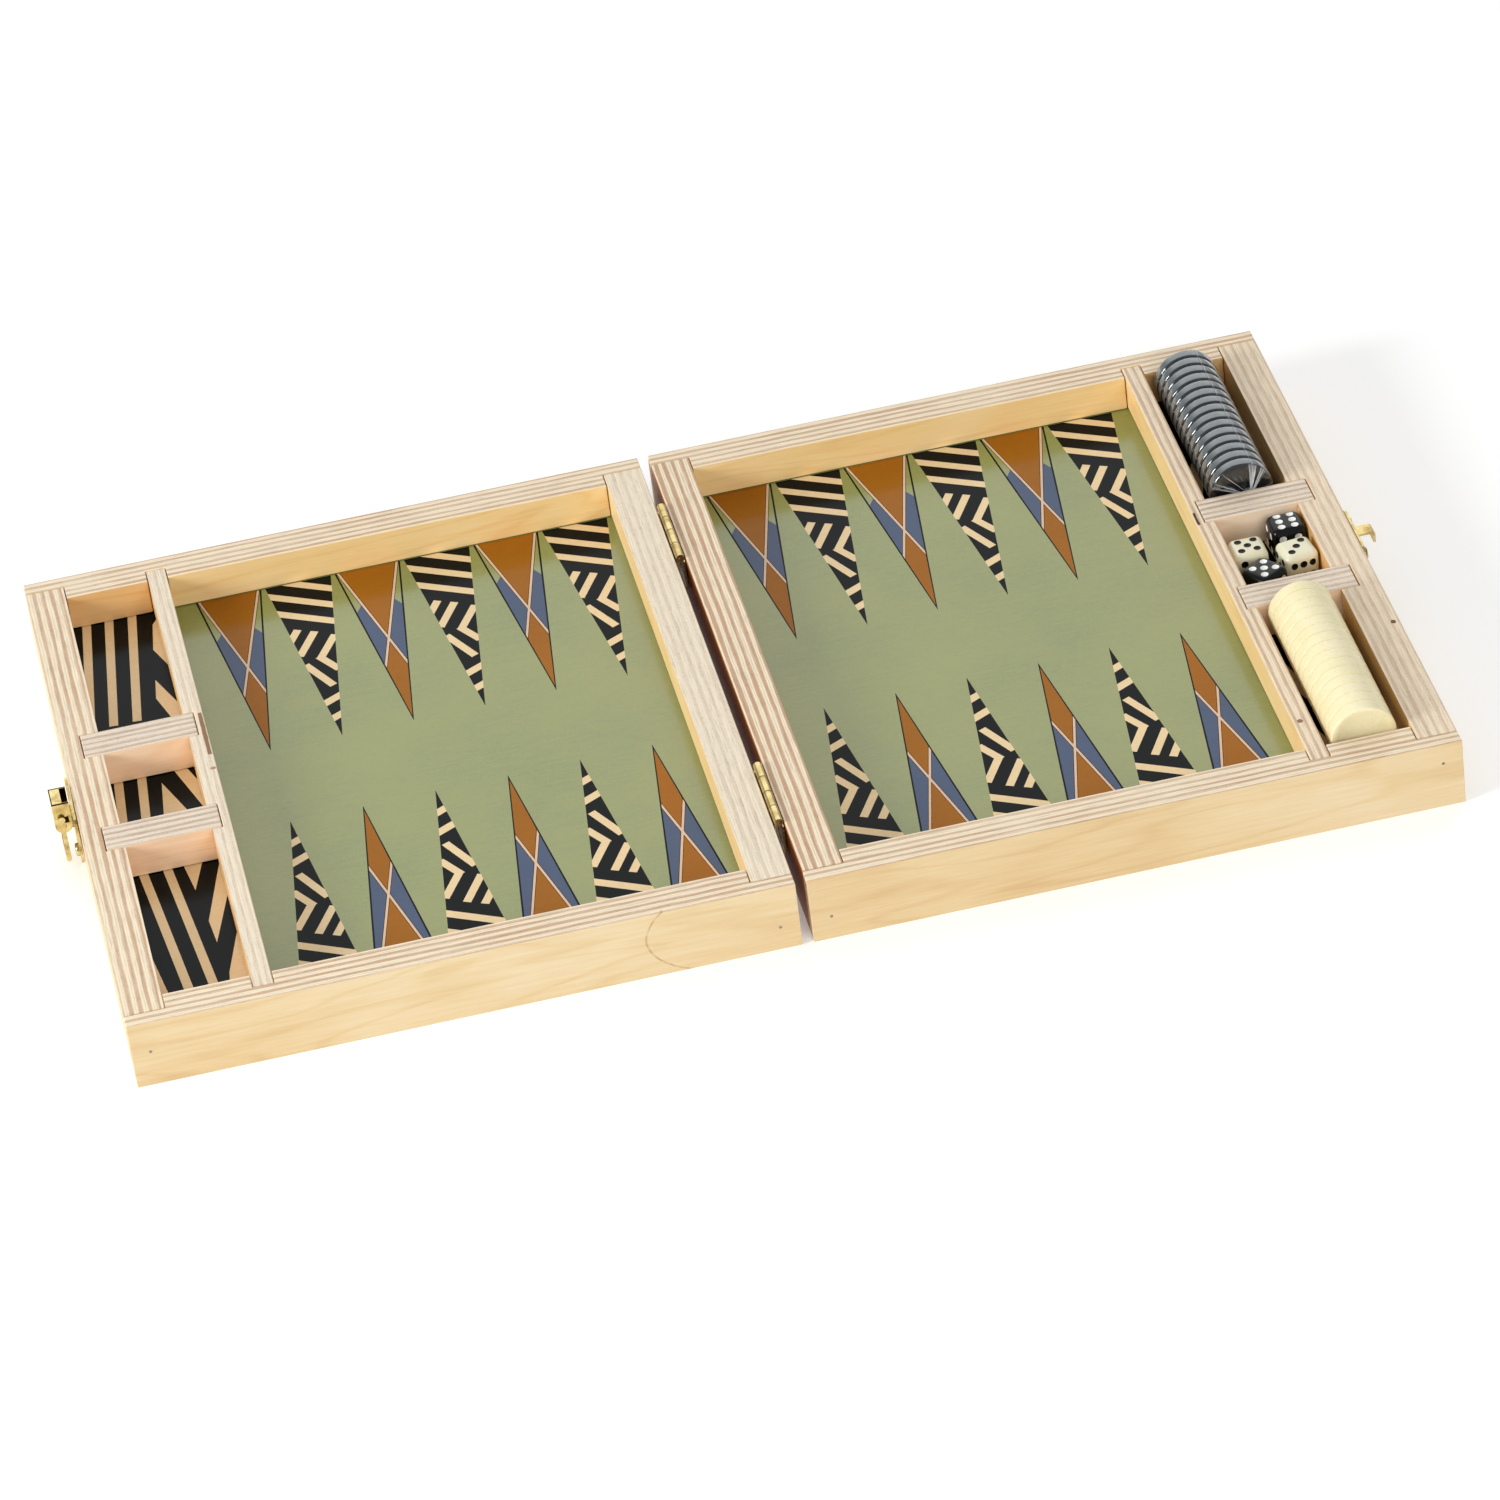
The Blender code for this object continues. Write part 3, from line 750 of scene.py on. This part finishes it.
def plastic(name, base, shade, roughness, shine=0.5, glow=0.0, coat=0.0, film_sheen_paint=None):
    """Moulded plastic with a faint flow pattern. Glow is the share of light that passes
    through its outer layer. An optional (node, colour) pair gives a painted reflection of the
    tight film on the rims of the stack that the CAD node is in, a little wider on the right."""
    shader = Shader(name)
    flow = shader.noise(90, 3.0)
    tone = shader.ramp(flow, (0.3, colour(shade)), (0.7, colour(base)))
    # Painted reflection of the tight film on the outer rims
    if film_sheen_paint:
        node, sheen_colour = film_sheen_paint
        across, up = shader.around(node)
        away = shader.scaled(across, 0.006, shader.distance(up, across))
        rim = disc_radius(node)
        sheen_band = shader.band(away, rim - 0.1 * MM, rim + 1 * MM, 0.03 * MM)
        patchy = shader.ramp(flow, (0.3, 0.7), (0.7, 1.0))
        tone = shader.mix(shader.times(sheen_band, patchy), tone, colour(sheen_colour))
    wiped = shader.noise(240, 2.0)
    gloss = shader.ramp(wiped, (0.3, roughness * 0.92), (0.7, roughness * 1.1))
    return shader.finish(
        Base_Color=tone,
        Roughness=gloss,
        Normal=shader.bump(flow, 0.2 * MM, 0.1),
        Specular_IOR_Level=shine,
        Coat_Weight=coat,
        Coat_Roughness=0.09,
        Coat_IOR=1.7,
        Subsurface_Weight=glow,
        Subsurface_Scale=1.5 * MM,
        Subsurface_Radius=(1.0, 0.8, 0.5),
    )


def checker_profile(radius, thickness, rounding):
    """Half section of a checker: rounded rim and a shallow dish in each face."""
    half = thickness / 2
    floor, lip = -half + DISH_DEPTH, radius - rounding - DISH_LIP
    lower = [(0, floor), (lip - DISH_SLOPE, floor), (lip, -half)]
    rim = bend((radius - rounding, -half + rounding), rounding, -90, 0, 6)
    upper = [(r, -z) for r, z in reversed(lower + rim)]
    return lower + rim + upper


def stack_names(tone):
    """The CAD discs of a stack, from the front."""
    return sorted(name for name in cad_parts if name.startswith(f"{tone}_checker_"))


def checkers(tone, names, material, rounding, gap):
    """Turned checkers in place of a stack's plain CAD discs, a gap apart."""
    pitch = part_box(names[1])[0].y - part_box(names[0])[0].y
    for name in names:
        turn = Matrix.Translation(middle_of(name)) @ Matrix.Rotation(math.pi / 2, 4, "X")
        profile = checker_profile(disc_radius(name), pitch - gap, rounding)
        shape = lathe(profile, CHECKER_SEGMENTS, turn)
        body, slot = f"{tone}_stack", f"{tone}_plastic"
        disc = mesh_piece(f"{name}_turned", shape, body, [material], 50)
        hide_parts(name)


FILM_SEGMENTS = 120
FILM_CLEAR = 0.12 * MM
FILM_SHOULDER = 0.8 * MM
FILM_DIP = 0.3 * MM
FILM_THICKNESS = 0.04 * MM
PLEATS = 5
TAIL_STEPS, TAIL_REACH, TAIL_RISE = 9, 0.72 * MM, 5.2 * MM
SEAM_ANGLE = 68  # degrees from +X towards +Z
END_RINGS = (0.08, 0.16, 0.28, 0.42, 0.58, 0.74, 0.86)  # shares of the sleeve's radius


def film_material(name, node, crease, seam):
    """Clear shrink film: unseen where it lies tight, milky along its seam and in the
    creases drawn together at the ends."""
    shader = Shader(name)
    across, up = shader.around(node)
    aside = shader.minus(across, 2.5 * MM)  # from the point where the pleats meet
    above = shader.plus(up, 1.5 * MM)
    turn = shader.math("ARCTAN2", aside, above)
    rays = shader.node(
        "ShaderNodeTexNoise", {"W": turn, "Scale": 3.2, "Detail": 3.0}, noise_dimensions="1D"
    ).outputs[0]
    frayed = shader.noise(500, 3.0)
    rays = shader.scaled(frayed, 0.07, shader.minus(rays, 0.035))
    pleats = shader.ramp(rays, (0.54, 0.0), (0.6, crease), (0.66, 0.0))
    reach = shader.distance(above, aside)
    pleats = shader.times(pleats, shader.band(reach, -1.0, 9 * MM, 5 * MM))
    knot = shader.times(shader.band(reach, -1.0, 2.2 * MM, 1 * MM), 0.5 * crease)
    end_look = shader.math("MAXIMUM", pleats, knot)
    on_end = shader.above(shader.absolute(shader.axes(shader.normal)[1]), 0.7)
    angle = shader.math("ARCTAN2", up, across)
    limits = [math.radians(SEAM_ANGLE + half_width) for half_width in (-0.4, 0.4)]
    line = shader.times(shader.band(angle, *limits, 0.006), frayed, seam)
    line = shader.times(line, shader.minus(1.0, on_end))
    return shader.finish(
        Base_Color=shader.ramp(frayed, (0.3, colour("D5DCE0")), (0.7, colour("F0F4F6"))),
        Roughness=0.15,
        Alpha=shader.scaled(on_end, end_look, line),
        Specular_IOR_Level=0.6,
    )


def film_section(names):
    """The film's (radius, y) pairs from its front end to its back end, drawn in a little
    between checkers. Also its largest radius and its middle along Y."""
    boxes = sorted((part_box(name) for name in names), key=lambda pair: pair[0].y)
    radius = disc_radius(names[0]) + FILM_CLEAR
    front, back = boxes[0][0].y - FILM_CLEAR, boxes[-1][1].y + FILM_CLEAR
    corner = radius - FILM_SHOULDER
    section = [(share * radius, front) for share in END_RINGS]
    section += bend((corner, front + FILM_SHOULDER), FILM_SHOULDER, -90, 0, 5)
    for low, high in boxes:
        span = high.y - low.y
        section += [(radius, low.y + share * span) for share in (0.3, 0.5, 0.7)]
        section.append((radius - FILM_DIP, high.y + 0.15 * MM))
    section.pop()
    section = [point for point in section if point[1] < back - FILM_SHOULDER]
    section += bend((corner, back - FILM_SHOULDER), FILM_SHOULDER, 0, 90, 5)
    section += [(share * radius, back) for share in reversed(END_RINGS)]
    return section, radius, (front + back) / 2


def wrap(tone, names, material, twisted):
    """Film around a stack: a sleeve with a seam, whose ends are drawn together flat or
    into a twist."""
    section, radius, middle = film_section(names)
    axis = middle_of(names[0])
    rng = random.Random(tone)
    pleats = [
        (rng.randint(7, 23), rng.uniform(0, math.tau), rng.uniform(0.3, 1))
        for _ in range(PLEATS)
    ]
    knot = Vector((1.2 * MM, 0, -2.6 * MM))  # middle of each end, from the axis
    shape = bmesh.new()
    rings = []
    for r, y in section:
        ring = []
        share, outward = r / radius, -1 if y < middle else 1
        on_end = share < 0.9
        away = 1 - share if on_end else 0
        for step in range(FILM_SEGMENTS):
            angle = math.tau * step / FILM_SEGMENTS
            waves = [size * math.sin(count * angle + start) for count, start, size in pleats]
            wave = sum(waves) / PLEATS
            seam = math.exp(-(((math.degrees(angle) - SEAM_ANGLE) / 2.2) ** 2))
            bulge = 0 if on_end else 0.16 * MM * seam
            lift = 0.55 * MM * away**0.5 * (0.5 + 0.5 * wave)
            ring.append(shape.verts.new((
                axis.x + (r + bulge) * math.cos(angle) + knot.x * away,
                y + outward * lift,
                axis.z + (r + bulge + 0.03 * MM * wave) * math.sin(angle) + knot.z * away,
            )))
        rings.append(ring)
    for before, after in zip(rings, rings[1:]):
        bridge(shape, before, after)
    for ring, outward in ((rings[0], -1), (rings[-1], 1)):
        if twisted:
            tail(shape, ring, outward)
        else:
            shape.faces.new(ring)
    bmesh.ops.recalc_face_normals(shape, faces=shape.faces)
    body, slot = f"{tone}_stack", f"{tone}_plastic"
    film = mesh_piece(f"{body}_film", shape, body, [material], 60)
    shell = film.modifiers.new("thickness", "SOLIDIFY")
    shell.thickness = FILM_THICKNESS
    shell.offset = 0


def tail(shape, ring, outward):
    """The twisted end of the film, from its last ring up over the stack's face."""
    centre = sum((vert.co for vert in ring), Vector()) / len(ring)
    previous = ring
    for step in range(1, TAIL_STEPS + 1):
        share = step / TAIL_STEPS
        size = (0.75 - 0.45 * share) * (1 if step < TAIL_STEPS else 0.3)
        middle = centre + Vector((
            1.2 * MM * math.sin(2.5 * share),
            outward * TAIL_REACH * math.sin(math.pi * min(share * 1.3, 1) / 2),
            TAIL_RISE * share**1.4,
        ))
        current = []
        for index, vert in enumerate(ring):
            arm = vert.co - centre
            arm.y = 0
            pinch = 0.55 + 0.45 * math.cos(4 * math.tau * index / len(ring) + 5 * share)
            offset = Matrix.Rotation(2.2 * share, 3, "Y") @ (arm * size * pinch)
            lean = outward * -0.32 * share
            flat = Vector((offset.x, lean * offset.z, offset.z * 0.6))
            current.append(shape.verts.new(middle + flat))
        bridge(shape, previous, current)
        previous = current
    shape.faces.new(previous)


# ---- dice

PIP_RADIUS = 1.2 * MM
PIP_DEPTH = 0.38 * MM
CORNER = 2.5 * MM
DIE_ROUNDING = 2.3 * MM
PIPS = {
    1: [(0, 0)],
    2: [(-CORNER, -CORNER), (CORNER, CORNER)],
    4: [(x, y) for x in (-CORNER, CORNER) for y in (-CORNER, CORNER)],
    6: [(x, y) for x in (-2.1 * MM, 2.1 * MM) for y in (-3.1 * MM, 0, 3.1 * MM)],
}
PIPS[3] = [PIPS[2][0], (0, 0), PIPS[2][1]]
PIPS[5] = PIPS[4] + [(0, 0)]
FACES = {  # how local +Z turns onto each face of a die
    face: Matrix.Rotation(math.radians(turn), 4, axis)
    for face, turn, axis in (
        ("top", 0, "X"), ("bottom", 180, "X"), ("front", 90, "X"),
        ("back", -90, "X"), ("right", 90, "Y"), ("left", -90, "Y"),
    )
}
OPPOSITE = {"top": "bottom", "front": "back", "left": "right"}
DICE = {  # turn in degrees, then the values on top, in front and on the left
    "die_ivory_a": (0, {"top": 5, "front": 4, "left": 6}),
    "die_ivory_b": (7, {"top": 3, "front": 6, "left": 5}),
    "die_dark_a": (33, {"top": 5, "front": 3, "left": 1}),
    "die_dark_b": (0, {"top": 6, "front": 5, "left": 4}),
}


def die(name, materials):
    """A rounded cube with drilled pips, made of the first material, the pips painted
    with the second."""
    turn, shown = DICE[name]
    low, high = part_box(name)
    edge = high.z - low.z
    values = shown | {OPPOSITE[face]: 7 - value for face, value in shown.items()}
    ball = (PIP_RADIUS**2 + PIP_DEPTH**2) / (2 * PIP_DEPTH)  # radius of the drilled bowl
    place = Matrix.Translation(middle_of(name)) @ Matrix.Rotation(math.radians(turn), 4, "Z")
    cube = bmesh.new()
    bmesh.ops.create_cube(cube, size=edge)
    bmesh.ops.bevel(
        cube, geom=cube.edges[:], offset=DIE_ROUNDING, segments=6, profile=0.5, affect="EDGES"
    )
    bowl = bend((0, ball), ball, -90, math.degrees(math.asin(PIP_RADIUS / ball)) - 90, 5)
    drill = [(0, 0)] + bowl[1:] + [(PIP_RADIUS, 2 * PIP_DEPTH), (0, 2 * PIP_DEPTH)]
    drills = bmesh.new()
    for face, value in values.items():
        for x, y in PIPS[value]:
            if name == "die_ivory_b" and face == "front":  # its rows lie across
                x, y = y, x
            bottom = Vector((x, y, edge / 2 - PIP_DEPTH))
            lathe(drill, 24, FACES[face] @ Matrix.Translation(bottom), drills)
    for part in drills.faces:
        part.material_index = 1
    shape = subtract(cube, drills, materials)
    bmesh.ops.transform(shape, matrix=place, verts=shape.verts)
    _, tone, letter = name.split("_")
    body, slot = f"{tone}_die_{letter}", f"{tone}_plastic"
    piece = mesh_piece(f"{name}_drilled", shape, body, materials, 30)
    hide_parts(name)


def subtract(solid, tool, materials=(), use_self=False):
    """The difference of two closed bmeshes, as a new bmesh with their material slots."""
    objects = []
    for label, shape in (("solid", solid), ("tool", tool)):
        made = in_scene(label, to_mesh(label, shape))
        set_material(made, *materials)
        objects.append(made)
    cut = objects[0].modifiers.new("cut", "BOOLEAN")
    cut.operation, cut.solver, cut.object = "DIFFERENCE", "EXACT", objects[1]
    cut.use_self = use_self
    graph = bpy.context.evaluated_depsgraph_get()
    result = bmesh.new()
    result.from_mesh(objects[0].evaluated_get(graph).to_mesh())
    for made in objects:
        bpy.data.objects.remove(made)
    return result


# ---- hardware

# Dark brass painted as shade in the lever's hollows
BRASS_PAINTED_SHADE = "241708"
SCREW_Y = 8.6 * MM
SCREW_RADIUS = 2.1 * MM
PLATE_SCREW_Z = 5 * MM  # from the plate's lower edge
PLATE_THICKNESS, CATCH_THICKNESS = 0.9 * MM, 0.8 * MM
NAIL_HEAD = [  # (radius, height) pairs of a nail's head
    (0, 0), (0.55 * MM, 0), (0.55 * MM, 0.24 * MM), (0.4 * MM, 0.29 * MM), (0, 0.27 * MM),
]
NAIL_SUNK = 0.25 * MM
SPINE_NAIL_Z = 8 * MM
OUTER_NAIL_Z = {"left": 12 * MM, "right": 15.6 * MM}


def brass(name, painted_shade=None):
    """Brass-plated sheet: brushed, with duller spots. A mask, if given, marks the parts
    that are painted dark as shade."""
    shader = Shader(name)
    brushed = shader.noise((3000, 200, 3000), 3.0)
    patches = shader.noise(260, 4.0, 0.6)
    tones = zip((0.3, 0.5, 0.7), map(colour, ("A48A50", "D2BD80", "E4D39C")))
    tone = shader.ramp(patches, *tones)
    dirt = shader.ramp(shader.noise(900, 4.0), (0.3, 0.35), (0.42, 1.0))
    tone = shader.mix(0.22, tone, dirt, "MULTIPLY")
    # Painted shade: the masked parts turn dark brass
    if painted_shade:
        tone = shader.mix(painted_shade(shader), tone, colour(BRASS_PAINTED_SHADE))
    gloss = shader.ramp(patches, (0.35, 0.3), (0.65, 0.13))
    return shader.finish(
        Base_Color=tone,
        Metallic=1.0,
        Roughness=gloss,
        Normal=shader.bump(brushed, 0.01 * MM, 0.3),
    )


def lever_painted_shade(shader):
    """Painted shade on the lever: the inside of its channel, its cut edges around the
    curled lip and the slot that shows the loop's pivot, all painted dark."""
    low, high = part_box("latch_lever")
    x, y, z = shader.axes(shader.place)

    def within(value, start, end):
        return shader.band(value, start, end, 0.04 * MM)

    inside_x = within(x, low.x + 3.3 * MM, high.x + 1 * MM)
    inside_y = within(y, low.y + 0.6 * MM, high.y - 0.6 * MM)
    channel = shader.times(inside_x, inside_y)
    ends = shader.minus(1.0, within(y, low.y + 0.5 * MM, high.y - 0.5 * MM))
    edge = shader.math("MAXIMUM", ends, shader.below(x, low.x + 0.35 * MM))
    edge = shader.times(edge, shader.above(z, high.z - 0.25 * MM))
    slot_x = within(x, high.x - 2.6 * MM, high.x - 0.8 * MM)
    slot_z = within(z, high.z - 7.2 * MM, high.z - 4.9 * MM)
    slot = shader.times(slot_x, slot_z)
    return shader.math("MAXIMUM", shader.math("MAXIMUM", channel, edge), slot)


def steel():
    """Dull steel of nail heads, with a trace of rust."""
    shader = Shader("nail_steel")
    spots = shader.noise(1500, 4.0)
    tone = shader.ramp(spots, (0.35, colour("8A7258")), (0.6, colour("9C958C")))
    return shader.finish(Base_Color=tone, Metallic=0.6, Roughness=0.5)


def screw(shape, matrix, radius):
    """A pan head with a cross recess, its flat back at local z = 0."""
    height = radius * 0.55
    curve = height * 0.6
    head = [(0, 0), (radius, 0)] + bend((radius - curve, height * 0.4), curve, 0, 60, 4)
    head += [(radius * 0.45, height), (0, height * 1.04)]
    solid = lathe(head, 32)
    slots = bmesh.new()
    for turn in (0, 90):
        size = Matrix.Diagonal((radius * 1.25, radius * 0.24, height, 1))
        lift = Matrix.Translation((0, 0, height * 0.98))
        spin = Matrix.Rotation(math.radians(turn + 20), 4, "Z")
        bmesh.ops.create_cube(slots, size=1, matrix=lift @ spin @ size)
    cut = subtract(solid, slots, use_self=True)
    bmesh.ops.transform(cut, matrix=matrix, verts=cut.verts)
    mesh = to_mesh("screw", cut)
    shape.from_mesh(mesh)
    bpy.data.meshes.remove(mesh)


def plate_screws(node, body, outward, x, z, material):
    """Two screws on the outer face of a plate, at x, which faces along X."""
    shape = bmesh.new()
    for y in (-SCREW_Y, SCREW_Y):
        aim = Matrix.Rotation(math.radians(90 * outward), 4, "Y")
        screw(shape, Matrix.Translation((x, y, z)) @ aim, SCREW_RADIUS)
    mesh_piece(f"{node}_screws", shape, body, [material], 30)


def nails(material):
    """Nail heads through the rails into the ends of the side boards."""
    for side, sign in SIDES.items():
        for end, facing in (("back", 1), ("front", -1)):
            rng = random.Random(f"{side}{end}")
            aim = Matrix.Rotation(math.radians(-90 * facing), 4, "X")
            shape = bmesh.new()
            boards = ((SPINE_OUT, SPINE_IN, SPINE_NAIL_Z), (SIDE_IN, SIDE_OUT, OUTER_NAIL_Z[side]))
            for near, far, z in boards:
                x = sign * ((near + far) / 2 + rng.uniform(-0.6, 0.6) * MM)
                place = Matrix.Translation((x, facing * (FRONT_Y - NAIL_SUNK), z))
                lathe(NAIL_HEAD, 20, place @ aim, shape)
            name, body = f"{side}_{end}_nails", f"{side}_case"
            mesh_piece(name, shape, body, [material])


def hardware():
    """Brass for the hinges, the latch and the catch, with their screws."""
    plate = brass("brass_plate")
    lever = brass("brass_lever", lever_painted_shade)
    for name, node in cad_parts.items():
        if "hinge" in name or "latch" in name:
            set_material(node, lever if name == "latch_lever" else plate)
            soften(node, BRASS_EDGE)
    low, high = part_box("latch_plate")
    x, z = high.x - PLATE_THICKNESS, low.z + PLATE_SCREW_Z
    plate_screws("latch_plate", "left_case", -1, x, z, plate)
    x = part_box("latch_catch")[0].x + CATCH_THICKNESS
    plate_screws("latch_catch", "right_case", 1, x, middle_of("latch_catch").z, plate)


# ---- stage

AZIMUTH, ELEVATION, ROLL = -7.498, 35.495, -7.632  # degrees
DISTANCE = 2.20756
TARGET = Vector((0.003711, -0.018262, 0.0))
LENS, SENSOR = 172.77, 36  # mm
ROOM_LIGHT, BACK_LIGHT = 0.42, 1.4
BACK_LIGHT_AIM = Vector((0.1, 0.8, 0.58)).normalized()
BACK_LIGHT_EDGE = (0.72, 0.93)  # cosines from its aim, where it starts and is full
WHITE = (1.0, 1.0, 1.0, 1.0)
LAMPS = {  # place, diameter in metres, power in watts, seen in gloss
    "key": ((-2.15, -0.6, 0.9), 0.9, 43, True),
    "fill": ((0.6, -2.4, 1.25), 1.6, 26, False),
}


def camera():
    """The camera, aimed at a point on the floor and rolled about its own axis."""
    a, e, r = (math.radians(value) for value in (AZIMUTH, ELEVATION, ROLL))
    back = Vector((math.sin(a) * math.cos(e), -math.cos(a) * math.cos(e), math.sin(e)))
    level = Vector((0, 0, 1)).cross(back).normalized()
    up = back.cross(level)
    right = level * math.cos(r) + up * math.sin(r)
    top = up * math.cos(r) - level * math.sin(r)
    data = bpy.data.cameras.new("camera")
    data.lens, data.sensor_width, data.clip_end = LENS, SENSOR, 50
    made = in_scene("camera", data)
    turn = Matrix((right, top, back)).transposed().to_4x4()
    made.matrix_world = Matrix.Translation(TARGET + back * DISTANCE) @ turn
    bpy.context.scene.camera = made


def lamp(name):
    """A round lamp, aimed at the origin."""
    place, size, power, mirrored = LAMPS[name]
    data = bpy.data.lights.new(name, "AREA")
    data.shape, data.size, data.energy = "DISK", size, power
    light = in_scene(name, data)
    light.location = place
    light.visible_glossy = mirrored
    light.rotation_euler = (-Vector(place)).to_track_quat("-Z", "Y").to_euler()


def room():
    """A white room with a brighter wall behind the case, which its varnish mirrors."""
    world = bpy.data.worlds.new("room")
    world.use_nodes = True
    nodes, links = world.node_tree.nodes, world.node_tree.links
    direction = nodes.new("ShaderNodeTexCoord").outputs["Generated"]
    facing = nodes.new("ShaderNodeVectorMath")
    facing.operation = "DOT_PRODUCT"
    facing.inputs[1].default_value = BACK_LIGHT_AIM
    glow = nodes.new("ShaderNodeMapRange")
    glow.interpolation_type = "SMOOTHSTEP"
    for index, value in enumerate((*BACK_LIGHT_EDGE, ROOM_LIGHT, BACK_LIGHT), start=1):
        glow.inputs[index].default_value = value
    links.new(direction, facing.inputs[0])
    links.new(facing.outputs["Value"], glow.inputs[0])
    links.new(glow.outputs[0], nodes["Background"].inputs[1])
    nodes["Background"].inputs[0].default_value = WHITE
    bpy.context.scene.world = world


def stage():
    """A pale floor, a white room and soft lights."""
    shape = bmesh.new()
    bmesh.ops.create_grid(shape, x_segments=1, y_segments=1, size=6)
    floor = in_scene("floor", to_mesh("floor", shape))
    paint = Shader("floor").finish(
        Base_Color=(0.9, 0.9, 0.9, 1.0), Roughness=0.9,
        Emission_Color=WHITE, Emission_Strength=0.22,
    )
    set_material(floor, paint)
    room()
    for name in LAMPS:
        lamp(name)
    bpy.context.scene.view_settings.view_transform = "Standard"


# ---- everything


def main():
    camera()
    stage()
    dress_boards()
    inks = [ink_material(name, code) for name, code in INKS.items()]
    depths = near_far("left_floor_panel", 2)
    underside = plywood("panel_birch", 2, *depths, 3, "pale", 0.5, "outer", "outer")
    for side in SIDES:
        printed_floor(side, inks + [underside])
    for tone, twisted in (("dark", True), ("ivory", False)):
        names = stack_names(tone)
        # The dark checkers get the film's reflection painted on their rims
        film_sheen_paint = (names[0], FILM_SHEEN_PAINT) if tone == "dark" else None
        gloss = plastic(f"{tone}_gloss", *CHECKER_PLASTIC[tone], film_sheen_paint=film_sheen_paint)
        checkers(tone, names, gloss, *CHECKER_SHAPE[tone])
        film = film_material(f"{tone}_film", names[0], *FILM_LOOK[tone])
        wrap(tone, names, film, twisted)
    white = plastic("pip_white", "F4F4F0", "E9E9E4", 0.4)
    jet = plastic("pip_black", "0C0D0D", "08090A", 0.35, shine=0.3)
    bone = plastic("die_ivory", "E8E4C9", "DED8B5", 0.2, glow=0.2)
    onyx = plastic("die_dark", "0C0F11", "07090A", 0.18, shine=0.3)
    for name in DICE:
        die(name, (onyx, white) if "dark" in name else (bone, jet))
    hardware()
    nails(steel())


main()
